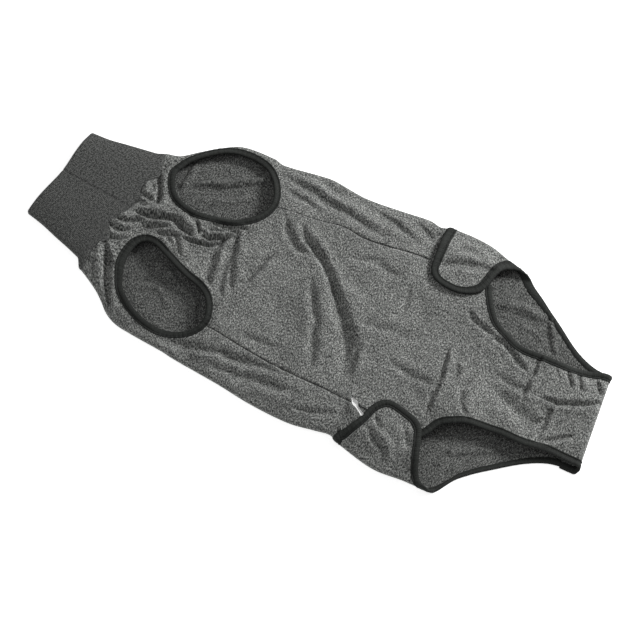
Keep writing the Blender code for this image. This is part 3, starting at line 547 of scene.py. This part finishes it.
def back_surface(x, reach, side, wing):
    """Outside of the back panel, from the floor round a side and over the top."""
    ring = body_ring(x)
    y, laid = ring.wrap(reach, side)
    inner = ring.from_side(y)
    if wing:
        relief = relief_at(WING_FOLDS, x, y, over_level(x, y, WING_LIFT), WING_RIPPLE, 7)
        lift = WING_LIFT * smooth(inner / WING_BLEND)
        extra = lift + bounded(relief * smooth(inner / FOLD_FADE), lift - JERSEY_WALL)
    else:
        under = smooth((x - SLIT_X + 0.004) / 0.008)
        extra = bounded(top_relief(x, y, ring), laid - LOWEST) - UNDER_DROP * under
    rise = relief_at(FLOOR_FOLDS, x, y, FLOOR_LEVEL, 0.0, 1) * smooth(-reach / 0.012)
    z = (laid + np.where(reach > ring.arc, extra, 0.0)
         + np.where(reach < 0, np.maximum(rise, 0.0), 0.0))
    return settle(x, y, z, laid)


def square_to(points, outward):
    """Unit normals of a grid of points, towards the cloth's outside."""
    return unit(np.cross(np.gradient(points, axis=0), np.gradient(points, axis=1)) * outward)


def layer(bm, name):
    """Layer of a vector for each vertex."""
    layers = bm.verts.layers.float_vector
    return layers.get(name) or layers.new(name)


def grid_at(bm, points):
    """Grid with its vertices at given points, each handed back with its row and column."""
    rows, columns = points.shape[0] - 1, points.shape[1] - 1
    made = bmesh.ops.create_grid(bm, x_segments=rows, y_segments=columns, size=0.5)["verts"]
    for vertex in made:
        i, j = round((vertex.co.x + 0.5) * rows), round((vertex.co.y + 0.5) * columns)
        vertex.co = points[i, j]
        yield vertex, i, j


def lay_grid(bm, outer, inner, plan):
    """Grid of cloth with its outer and inner points, and its plan for the pattern."""
    low, flat = layer(bm, "inner"), layer(bm, "plan")
    inner[..., 2] = np.maximum(inner[..., 2], CLEAR)
    for vertex, i, j in grid_at(bm, outer):
        vertex[low] = inner[i, j]
        vertex[flat] = (plan[i, j, 0], plan[i, j, 1], 0.0)


def cut(bm, leave):
    """Cut away the faces that a rule on their centres, in space and in plan, doesn't leave."""
    flat = bm.verts.layers.float_vector["plan"]
    faces = list(bm.faces)
    centres = np.array([np.mean([(v.co.x, v.co.y, v.co.z, v[flat].x, v[flat].y)
                                 for v in face.verts], axis=0) for face in faces])
    gone = [face for face, stay in zip(faces, leave(centres)) if not stay]
    bmesh.ops.delete(bm, geom=gone, context="FACES")


def sew(name, bm):
    """Weld a surface, and give it its inner side and rim."""
    bmesh.ops.remove_doubles(bm, verts=bm.verts, dist=1e-6)
    # the inner side is marked for painted shade, which darkens it where it shows inside the
    # openings
    reverse_painted_shade = bm.verts.layers.float.new("reverse_painted_shade")
    low = bm.verts.layers.float_vector["inner"]
    made = bmesh.ops.extrude_face_region(bm, geom=list(bm.faces), use_keep_orig=True)["geom"]
    for item in made:
        if isinstance(item, bmesh.types.BMVert):
            item.co = item[low]
            item[reverse_painted_shade] = 1.0
    bmesh.ops.recalc_face_normals(bm, faces=bm.faces)
    return finish(name, bm)


def finish(name, bm):
    """Object of a finished bmesh, with its plan as a UV map in metres."""
    flat = bm.verts.layers.float_vector["plan"]
    uv = bm.loops.layers.uv.new("plan")
    for face in bm.faces:
        face.smooth = True
        for loop in face.loops:
            loop[uv].uv = loop.vert[flat].xy
    bm.transform(SET_DOWN)
    return put_in(name, bm)


def put_in(name, bm):
    """Object of a bmesh, in the scene."""
    mesh = bpy.data.meshes.new(name)
    bm.to_mesh(mesh)
    bm.free()
    thing = bpy.data.objects.new(name, mesh)
    bpy.context.scene.collection.objects.link(thing)
    return thing


def inside(points, polygon):
    """Which points lie inside a closed outline."""
    x, y = points[:, 0], points[:, 1]
    found = np.zeros(len(points), bool)
    for (ax, ay), (bx, by) in zip(polygon, np.roll(polygon, -1, axis=0)):
        crosses = (ay > y) != (by > y)
        if crosses.any():
            found ^= crosses & (x < ax + (y - ay) / (by - ay + 1e-15) * (bx - ax))
    return found


def even_points(points, step=LINE_STEP):
    """A line's points set anew at even steps."""
    lengths = run_lengths(points)
    goal = np.linspace(0, lengths[-1], max(round(lengths[-1] / step), 8) + 1)
    return np.stack([np.interp(goal, lengths, points[:, k]) for k in (0, 1)], -1)


def curve_through(points, closed=False, step=LINE_STEP):
    """Even points on a smooth curve through the given ones."""
    points = np.asarray(points, float)
    if closed:
        ring = np.concatenate([points[-1:], points, points[:2]])
    else:
        ring = np.concatenate([2 * points[:1] - points[1:2], points,
                               2 * points[-1:] - points[-2:-1]])
    fine = []
    for a, b, c, d in zip(ring, ring[1:], ring[2:], ring[3:]):
        t = np.linspace(0, 1, 24, endpoint=False)[:, None]
        fine.append(0.5 * (2 * b + (c - a) * t + (2 * a - 5 * b + 4 * c - d) * t ** 2
                           + (3 * b - a - 3 * c + d) * t ** 3))
    return even_points(np.concatenate(fine + [ring[-2:-1]]), step)


def inset_line(line, inward, depth, closed=False):
    """A line moved across by a depth, towards the cloth."""
    if closed:
        run = np.roll(line[:-1], -1, axis=0) - np.roll(line[:-1], 1, axis=0)
        run = np.concatenate([run, run[:1]])
    else:
        run = np.gradient(line, axis=0)
    run = unit(run)
    away = np.broadcast_to(depth, len(line))[:, None]
    return line + np.stack([-run[:, 1], run[:, 0]], -1) * inward * away


def leg_edge(side):
    """Outer edge of a front leg opening's tape, before the neckline leans the first rows over."""
    if side not in LAID_EDGES:
        points = np.array(LEG_EDGES[side][::-side], float) / 1000 + (MARK, 0.0)
        leaned, y = leant(*points.T, over_level(*points.T))
        x = leaned
        for _ in range(20):
            x = leaned - neck_shift(y, ON_TOP, x)
        LAID_EDGES[side] = curve_through(np.stack([x, y], -1), closed=True)
    return LAID_EDGES[side]


def leg_hole(side, depth=TAPE_WIDTH * 0.5):
    """Line round a front leg opening, a depth in from the outer edge of its tape."""
    return inset_line(leg_edge(side), -1, depth, closed=True)


def in_holes(points):
    """Which places of the upper layer lie in a front leg opening."""
    return inside(points, leg_hole(1)) | inside(points, leg_hole(-1))


def wing_line(side):
    """Free edge of a hip wing and of the back panel on to the tail, by length and reach."""
    arc = float(body_ring(np.array(SLIT_X)).arc)
    starts = [SLIT_X + lean for lean in WING_START[side]]
    points = [(starts[0], arc * 0.30), (starts[1], arc + 0.0040)]
    for along, across in np.array(WING_EDGE[side]) / 1000:
        x, y = along * BODY_LENGTH, across * BODY_WIDTH
        x, y = leant(x, y, float(over_level(np.array(x), y, WING_LIFT)))
        ring = body_ring(np.array(x))
        points.append((x, float(ring.arc + ring.from_side(y))))
    end = BUTT + 0.0015
    count = round((end - x) / 0.016)
    points += [(x + (end - x) * k / count, 0.0) for k in range(1, count + 1)]
    return curve_through(points)


def belly_line(side):
    """Free edge of the belly panel along a hind leg opening, round the tail fold."""
    tail = np.array([BELLY_EDGES[side][-1][1] / 1000 * BODY_WIDTH])
    start = tail_turn(tail)[1][0]
    travel = np.linspace(BELLY_TAPE_START[side] * BODY_LENGTH, float(belly_end(tail)[0]), 400)
    spread = TAIL_SPREAD[side] * smooth((travel - start - 0.002) / 0.014)
    return even_points(np.stack([travel, belly_edge(side, travel) + spread], -1))


def seam_strip(side, share, across, wing_front):
    """Strip up to a side seam. Its last rows bend along the wing's front edge and under it."""
    even = x = share * SLIT_X + 0 * across
    for _ in range(4):
        ring = body_ring(x)
        seam = ring.from_side(belly_edge(side, x)) - SEAM_GAP / 2
        reach = ring.arc + seam * across
        under = UNDERLAP * smooth((reach - ring.arc - 0.004) / 0.020)
        bent = smooth((share - 1) / 0.15 + 1) * smooth((reach - ring.arc) / 0.004)
        x = even + (wing_front(reach) - SLIT_X + under) * bent
    return x, reach


def wing_strip(side, share, across, wing_front):
    """A hip wing before it is cut out. Its first rows bend along its front edge."""
    x = SLIT_X + share * (BUTT - SLIT_X) + 0 * across
    ring = body_ring(x)
    reach = ring.arc + np.minimum(ring.from_side(side * 0.066), 0.080) * across
    bent = (1 - smooth(share / 0.30)) * smooth((reach - ring.arc) / 0.004)
    return x + (wing_front(reach) + 0.003 - SLIT_X) * bent, reach


def make_back_cloth():
    """The floor layer, both side turns, the strips up to the seams and the hip wings."""
    front, rear = (np.linspace(0, 1, round(run / BACK_GRID) + 1)[:, None]
                   for run in (SLIT_X, BUTT - SLIT_X))
    floor, turn, strip = (np.linspace(0, 1, count) for count in (46, 8, 36))
    bm = bmesh.new()
    for side in (1, -1):
        line = wing_line(side)
        edge = line[:len(line) // 3]
        edge = edge[np.argsort(edge[:, 1])]
        cut_edge = inset_line(line, -1, TAPE_WIDTH * 0.5)
        corners = [(SLIT_X - 0.001, -0.4), (SLIT_X - 0.001, cut_edge[0, 1]),
                   (BUTT + 0.01, cut_edge[-1, 1]), (BUTT + 0.01, -0.4)]
        polygon = np.concatenate([corners[:2], cut_edge, corners[2:]])

        def wing_front(reach):
            """Place of the wing's front edge at a reach."""
            return np.interp(reach, edge[:, 1], edge[:, 0])

        grids = []
        for wing, share, start, end, lay_strip in ((False, front, 0.0, SLIT_X, seam_strip),
                                                   (True, rear, SLIT_X, BUTT, wing_strip)):
            x = start + share * (end - start)
            flat = body_ring(x + 0 * floor).flat
            grids += [(x + 0 * floor, -flat * (1 - floor), wing),
                      (x + 0 * turn, body_ring(x + 0 * turn).arc * turn, wing),
                      (*lay_strip(side, share, strip, wing_front), wing)]
        for x, reach, wing in grids:
            def leave(centres):
                """Below the tape's middle, and not in a leg opening of the upper layer."""
                reached = centres[:, 4] * side - PLAN_SHIFT
                stay = ~(in_holes(centres[:, :2]) & (reached > 0.5 * math.pi * TURN_RADIUS))
                if wing:
                    stay &= inside(np.stack([centres[:, 3], reached], -1), polygon)
                return stay

            outer = back_surface(x, reach, side, wing)
            part = bmesh.new()
            lay_grid(part, outer, outer - square_to(outer, -side) * JERSEY_WALL,
                     np.stack([x, side * (reach + PLAN_SHIFT)], -1))
            cut(part, leave)
            pour(part, bm)
    return sew("back_cloth", bm)


def pour(part, whole):
    """Add one bmesh to another, layers and all."""
    mesh = bpy.data.meshes.new("part")
    part.to_mesh(mesh)
    part.free()
    whole.from_mesh(mesh)
    bpy.data.meshes.remove(mesh)


def make_belly_cloth():
    """The upper layer between the seams, which folds under at the tail."""
    lines = {side: belly_line(side) for side in (1, -1)}
    slit = min(line[0, 0] for line in lines.values())
    end = float(belly_end(np.zeros(1))[0])
    rows = np.linspace(0, end, round(end / GRID) + 1)

    def edge(side):
        """Across value of the cut edge: at the seam, then below the tape's middle."""
        line = inset_line(lines[side], -side, TAPE_WIDTH * 0.5)
        line = line[np.argsort(line[:, 0])]
        taped = np.interp(rows, line[:, 0], line[:, 1])
        seam = belly_edge(side, rows) - side * SEAM_GAP / 2
        return np.where(rows < line[0, 0], seam, taped)[:, None]

    y = edge(-1) + (edge(1) - edge(-1)) * np.linspace(0, 1, 116)
    rows = rows[:, None]
    travel = rows + (belly_end(y) - end) * smooth((rows / end - 0.85) / 0.15)
    outer = belly_surface(travel, y)
    bm = bmesh.new()
    lay_grid(bm, outer, outer - square_to(outer, 1) * JERSEY_WALL, np.stack([travel, y], -1))
    cut(bm, lambda centres: ~(in_holes(centres[:, :2]) & (centres[:, 0] < slit)))
    return sew("belly_cloth", bm)


def make_collar():
    """Doubled rib tube, rounded over its fold at the free edge."""
    shares = np.linspace(0, 1, round(COLLAR_LENGTH / GRID) + 1) ** 0.9
    rim = RIB_WALL / 2
    bm = bmesh.new()
    for side in (1, -1):
        for kind, count in (("top", 46), ("turn", 8), ("floor", 24)):
            across = np.linspace(0, 1, count)
            share = shares[:, None] + 0 * across
            ring = collar_ring(share)
            if kind == "top":
                reach = ring.arc + ring.flat * (1 - across)
            elif kind == "turn":
                reach = ring.arc * (1 - across)
            else:
                reach = -ring.flat * across
            y, z = ring.wrap(reach, side)
            groove = RIB_GROOVE * bell(y - 0.0005 - 0.0065 * share, 0.0009)
            relief = ripple(share * COLLAR_LENGTH, y, RIB_RIPPLE, 20, 3) - groove
            z = z + np.where(reach > ring.arc, relief * smooth(ring.from_side(y) / 0.01), 0.0)
            kink = 0.004 * bell(y - 0.004, 0.03) * share
            at_edge = COLLAR_SLANT * (COLLAR_SECTIONS[-1][2] / 1000 - y / COLLAR_WIDTH) - kink
            left = 1 - share
            shift = neck_shift(y, z) * left ** 2 + floor_slant(y) * (left - left ** 2)
            x = 0.0006 - (COLLAR_LENGTH + 0.0012) * share + shift - at_edge * share
            outer = np.stack([x, y, z], -1)
            normal = square_to(outer, -side)
            tuck = rim * (1 - rounded(left * COLLAR_LENGTH / rim))[..., None]
            lay_grid(bm, outer - normal * tuck, outer - normal * (RIB_WALL - tuck),
                     np.stack([share * COLLAR_LENGTH, side * (reach + 0.1)], -1))
    return sew("collar_rib", bm)


def make_tape(name, line, inward, surface, closed=False, broad=()):
    """Folded tape round a cut edge, with the slight gathers of stretched binding."""
    inset, height = np.array(TAPE_SECTION).T * [[TAPE_WIDTH], [TAPE_WALL / 2]]
    length = run_lengths(line)
    gather = (GATHER * np.sin(length * math.tau / GATHER_PITCH)
              + 0.00010 * np.sin(length * 733 + 1.3))
    sway = 0.00024 * (1 + np.sin(length * math.tau / 0.047 + 0.7))
    ends = np.ones_like(length)
    if not closed:
        for left in (length, length[-1] - length):
            ends *= np.maximum(rounded(left / TAPE_END), TAPE_TIP)
    wide = TAPE_PULL + sum(gain * bell(line[:, 0] - place, spread) for place, gain, spread in broad)
    rows, sense = [], None
    for off, rise in zip(inset, height):
        spots = [inset_line(line, inward, off * wide + sway + step, closed)
                 for step in (0, 0.0006)]
        base, deeper = (surface(spot[:, 0], spot[:, 1]) for spot in spots)
        along = np.gradient(base, axis=0)
        if closed:
            along[0] = along[-1] = base[1] - base[-2]
        normal = unit(np.cross(along, deeper - base))
        sense = sense or np.sign(normal[:len(line) // 3, 2].sum())
        swell = (rise + gather * np.sign(rise)) * ends - JERSEY_WALL / 2
        rows.append(base + normal * sense * swell[:, None])
    grid = np.stack(rows + rows[:1], 1)
    grid[..., 2] = np.maximum(grid[..., 2], 0.0)
    bm = bmesh.new()
    flat = layer(bm, "plan")
    around = np.append(inset, inset[0])
    for vertex, i, j in grid_at(bm, grid):
        vertex[flat] = (length[i], around[j], 0.0)
    bmesh.ops.remove_doubles(bm, verts=bm.verts, dist=1e-6)
    if not closed:
        bmesh.ops.holes_fill(bm, edges=[e for e in bm.edges if e.is_boundary], sides=0)
    bmesh.ops.recalc_face_normals(bm, faces=bm.faces)
    return finish(name, bm)


def make_label():
    """Blank strip at the end of a side seam, lying in one soft fold."""
    line = np.array(LABEL_LINE) / 1000 + (MARK, 0.0)
    spots = leant(*line.T, over_level(*line.T) + 0.0015)
    middle = curve_through(np.stack(spots, -1), step=0.0007)
    share = np.linspace(0, 1, len(middle))
    over = np.linspace(-1, 1, 11)
    half = 0.0009 + 0.0020 * bell(share - 0.30, 0.17) + 0.0008 * share
    side = inset_line(middle, 1, 1.0) - middle
    spots = middle[:, None, :] + side[:, None, :] * half[:, None, None] * over[None, :, None]
    x, y = spots[..., 0], spots[..., 1]
    curl = 0.0011 * over ** 2 + 0.0010 * np.sin(share * 5.0)[:, None] ** 2 + 0.0022
    outer = np.stack([x, y, upper(x, y) + curl + LABEL_WALL], -1)
    bm = bmesh.new()
    lay_grid(bm, outer, outer - (0.0, 0.0, LABEL_WALL), np.stack([x, y], -1))
    return sew("care_label_strip", bm)


def feed(tree, slot, value):
    """Give a shader input its value, or the wire that it gets one from."""
    if isinstance(value, Wire):
        tree.links.new(value.socket, slot)
    else:
        slot.default_value = value


class Wire:
    """A shader socket whose arithmetic adds Math nodes."""

    def __init__(self, tree, socket):
        self.tree, self.socket = tree, socket

    def math(self, operation, *others):
        node = self.tree.nodes.new("ShaderNodeMath")
        node.operation = operation
        for slot, value in zip(node.inputs, (self, *others)):
            feed(self.tree, slot, value)
        return Wire(self.tree, node.outputs[0])

    def __add__(self, other):
        return self.math("ADD", other)

    def __sub__(self, other):
        return self.math("SUBTRACT", other)

    def __mul__(self, other):
        return self.math("MULTIPLY", other)

    def sine(self):
        return self.math("SINE")


class Finish:
    """One material and the nodes it is made of."""

    def __init__(self, name, **values):
        self.made = bpy.data.materials.new(name)
        self.made.use_nodes = True
        self.tree = self.made.node_tree
        self.shader = self.tree.nodes["Principled BSDF"]
        self.set(**values)

    def node(self, kind, out=0, sets=(), **inputs):
        """A node with its settings, and values or wires for its inputs by name or number."""
        made = self.tree.nodes.new(kind)
        for key, value in dict(sets).items():
            setattr(made, key, value)
        for key, value in inputs.items():
            number = key[1:]
            feed(self.tree, made.inputs[int(number) if number.isdigit() else key], value)
        return Wire(self.tree, made.outputs[out])

    def plan(self, scale_x=1.0, scale_y=1.0, turn=0.0):
        """The cloth's own plan in metres, scaled and turned."""
        uv = self.node("ShaderNodeUVMap", sets={"uv_map": "plan"})
        return self.node("ShaderNodeMapping", Vector=uv, Rotation=(0, 0, turn),
                         Scale=(scale_x, scale_y, 1.0))

    def plan_axis(self, axis):
        """One axis of the plan: 0 along, 1 across."""
        return self.node("ShaderNodeSeparateXYZ", out=axis, Vector=self.plan())

    def noise(self, vector, detail=2.0, roughness=0.5):
        """Fine noise on a scaled plan."""
        return self.node("ShaderNodeTexNoise", Vector=vector, Scale=1.0, Detail=detail,
                         Roughness=roughness)

    def mix(self, factor, first, second):
        """Blend of two colours."""
        first, second = (value if isinstance(value, Wire) else (*value, 1.0)
                         for value in (first, second))
        return self.node("ShaderNodeMix", out=2, sets={"data_type": "RGBA"}, i0=factor,
                         i6=first, i7=second)

    def ramp(self, value, low, high):
        """Share of the way of a value from low to high."""
        return self.node("ShaderNodeMapRange", sets={"interpolation_type": "SMOOTHSTEP"},
                         Value=value, i1=low, i2=high)

    def set(self, **values):
        """Sockets of the shader by name, with _ for a space."""
        for key, value in values.items():
            feed(self.tree, self.shader.inputs[key.replace("_", " ")], value)

    def bump(self, height, distance, strength):
        """Relief of the surface, in metres."""
        self.set(Normal=self.node("ShaderNodeBump", Strength=strength, Distance=distance,
                                  Height=height))


def heather_jersey():
    """Melange knit: dark and light fibres that run a little slantwise."""
    cloth = Finish("heather_jersey", Roughness=0.92, Specular_IOR_Level=0.18, Sheen_Weight=0.12,
                   Sheen_Roughness=0.5)
    fibre = cloth.noise(cloth.plan(900, 480, 0.28), roughness=0.70)
    second = cloth.noise(cloth.plan(620, 420, -0.35), detail=1.0)
    cloud = cloth.noise(cloth.plan(130, 90, 0.3))
    tone = fibre * 0.62 + second * 0.28 + cloud * 0.10
    dark = cloth.ramp(tone, 0.40, 0.50)
    light = cloth.ramp(tone, 0.50, 0.61)
    colour = cloth.mix(light, cloth.mix(dark, FLECK_DARK, FLECK_MID), FLECK_LIGHT)
    # painted shade: the cloth's inner side, seen inside the openings, is darkened
    reverse_painted_shade = cloth.node("ShaderNodeAttribute", out=2, sets={"attribute_name": "reverse_painted_shade"})
    cloth.set(Base_Color=cloth.mix(reverse_painted_shade * INNER_PAINTED_SHADE, colour, (0.0, 0.0, 0.0)))
    wale = (cloth.plan_axis(1) * 5200.0).sine()
    cloth.bump(tone + wale * 0.05, 0.0006, 0.55)
    return cloth.made


def rib_knit():
    """Darker doubled rib with a fine melange."""
    cloth = Finish("rib_knit", Roughness=0.93, Specular_IOR_Level=0.15)
    fibre = cloth.noise(cloth.plan(640, 760, 0.4), roughness=0.65)
    tone = fibre * 0.85 + cloth.noise(cloth.plan(300, 300), detail=1.0) * 0.15
    cloth.set(Base_Color=cloth.mix(cloth.ramp(tone, 0.40, 0.62), RIB_DARK, RIB_LIGHT))
    wale = (cloth.plan_axis(1) * 3900.0).sine()
    cloth.bump(tone * 0.5 + wale * 0.25, 0.0006, 0.6)
    return cloth.made


def binding_tape():
    """Near black folded tape with a row of stitches along its inner edge, and a painted highlight
    along its crown.
    """
    cloth = Finish("binding_tape", Roughness=0.82, Specular_IOR_Level=0.25)
    fibre = cloth.noise(cloth.plan(900, 900, 0.5), roughness=0.6)
    # painted highlight: the tape is lighter along its crown, where light falls on the fold
    off_crown = (cloth.plan_axis(1) - TAPE_WIDTH * 0.34).math("ABSOLUTE")
    tone = cloth.ramp(fibre, 0.32, 0.68) * 0.70 + cloth.ramp(off_crown, 0.0030, 0.0005) * 0.35
    tone = tone.math("MINIMUM", 1.0).math("MAXIMUM", 0.0)
    cloth.set(Base_Color=cloth.mix(tone, TAPE_DARK, TAPE_LIGHT))
    rows = (cloth.plan_axis(0) * (math.tau / 0.0024)).sine()
    cloth.bump(fibre * 0.6 + rows * 0.18, 0.0005, 0.5)
    return cloth.made


def label_white():
    """Blank woven strip."""
    cloth = Finish("label_white", Base_Color=(*LABEL_WHITE, 1.0), Roughness=0.6)
    cloth.bump((cloth.plan_axis(0) * 9000.0).sine(), 0.0001, 0.3)
    return cloth.made


def dress(thing, look, *nodes):
    """Give a piece its finish, hang it on the root body and hide the solids that it stands for."""
    thing.data.materials.append(LOOKS[look])
    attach(thing, "root")
    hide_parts(*nodes)
    return thing


def stand(name, data, place, target):
    """Put a camera or a light at a place, facing a target."""
    thing = bpy.data.objects.new(name, data)
    thing.location = place
    thing.rotation_mode = "QUATERNION"
    thing.rotation_quaternion = (Vector(target) - Vector(place)).to_track_quat("-Z", "Y")
    bpy.context.scene.collection.objects.link(thing)
    return thing


def make_floor():
    """Plain pale floor under the suit."""
    bm = bmesh.new()
    bmesh.ops.create_grid(bm, x_segments=1, y_segments=1, size=9.0)
    bmesh.ops.translate(bm, verts=bm.verts, vec=(0, 0, -0.0002))
    floor = put_in("floor", bm)
    paint = Finish("white_floor", Base_Color=(*FLOOR_WHITE, 1.0), Roughness=0.9,
                   Emission_Color=(1, 1, 1, 1), Emission_Strength=FLOOR_GLOW)
    floor.data.materials.append(paint.made)


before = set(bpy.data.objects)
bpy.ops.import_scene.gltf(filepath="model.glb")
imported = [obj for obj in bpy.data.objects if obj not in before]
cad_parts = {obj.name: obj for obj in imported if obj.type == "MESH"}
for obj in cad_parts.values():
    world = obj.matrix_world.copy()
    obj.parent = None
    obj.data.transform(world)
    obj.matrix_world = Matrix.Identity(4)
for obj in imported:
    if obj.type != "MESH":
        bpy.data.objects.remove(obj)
for old in [o for o in bpy.data.objects if o.type in ("CAMERA", "LIGHT")]:
    bpy.data.objects.remove(old, do_unlink=True)
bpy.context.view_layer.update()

# The solids' front leg tape shows where the drawing's neckline lies in the frame
low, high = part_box("front_leg_binding_left")
shift = (low + high) / 2 - Vector((LEG_CENTRE[0] * BODY_LENGTH, LEG_CENTRE[1] * BODY_WIDTH, 0))
shift.z = 0.0
SET_DOWN = Matrix.Translation(shift)

LAID_EDGES = {}
LOOKS = {"heather_jersey": heather_jersey(), "rib_knit": rib_knit(),
         "binding_tape": binding_tape(), "label_white": label_white()}

back_cloth = dress(make_back_cloth(), "heather_jersey", "back_panel")
belly_cloth = dress(make_belly_cloth(), "heather_jersey", "belly_panel")
collar_rib = dress(make_collar(), "rib_knit", "neck_collar")
care_label = dress(make_label(), "label_white", "care_label")
back_tapes, belly_tapes = [], []
for side, word in ((1, "left"), (-1, "right")):
    leg = make_tape("front_leg_tape_" + word, leg_hole(side, TAPE_WIDTH), 1, top_cloth, True)
    hip = make_tape("hip_tape_" + word, wing_line(side), -1,
                    lambda x, reach, s=side: back_surface(x, reach, s, True),
                    broad=BROAD_HIP_TAPE[side])
    belly = make_tape("belly_tape_" + word, belly_line(side), -side, belly_surface,
                      broad=BROAD_BELLY_TAPE)
    back_tapes += [dress(leg, "binding_tape", "front_leg_binding_" + word),
                   dress(hip, "binding_tape", "hip_binding_" + word)]
    belly_tapes.append(dress(belly, "binding_tape", "belly_binding_" + word))
make_floor()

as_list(back_tapes)
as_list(belly_tapes)

target = LOOK_AT + shift
back = Vector((math.sin(AZIMUTH) * math.cos(ELEVATION), -math.cos(AZIMUTH) * math.cos(ELEVATION),
               math.sin(ELEVATION)))
view = bpy.data.cameras.new("camera")
view.lens, view.sensor_width, view.clip_start, view.clip_end = LENS, 36.0, 0.05, 20.0
bpy.context.scene.camera = stand("camera", view, target + back * DISTANCE, target)
for name, place, size, power in LIGHTS:
    lamp = bpy.data.lights.new(name, "AREA")
    lamp.shape, lamp.size, lamp.energy = "SQUARE", size, power
    stand(name, lamp, place, (0, 0, 0))
world = bpy.data.worlds.new("studio")
world.use_nodes = True
world.node_tree.nodes["Background"].inputs["Color"].default_value = (1, 1, 1, 1)
world.node_tree.nodes["Background"].inputs["Strength"].default_value = SKY_LIGHT
bpy.context.scene.world = world
bpy.context.scene.view_settings.view_transform = "Standard"
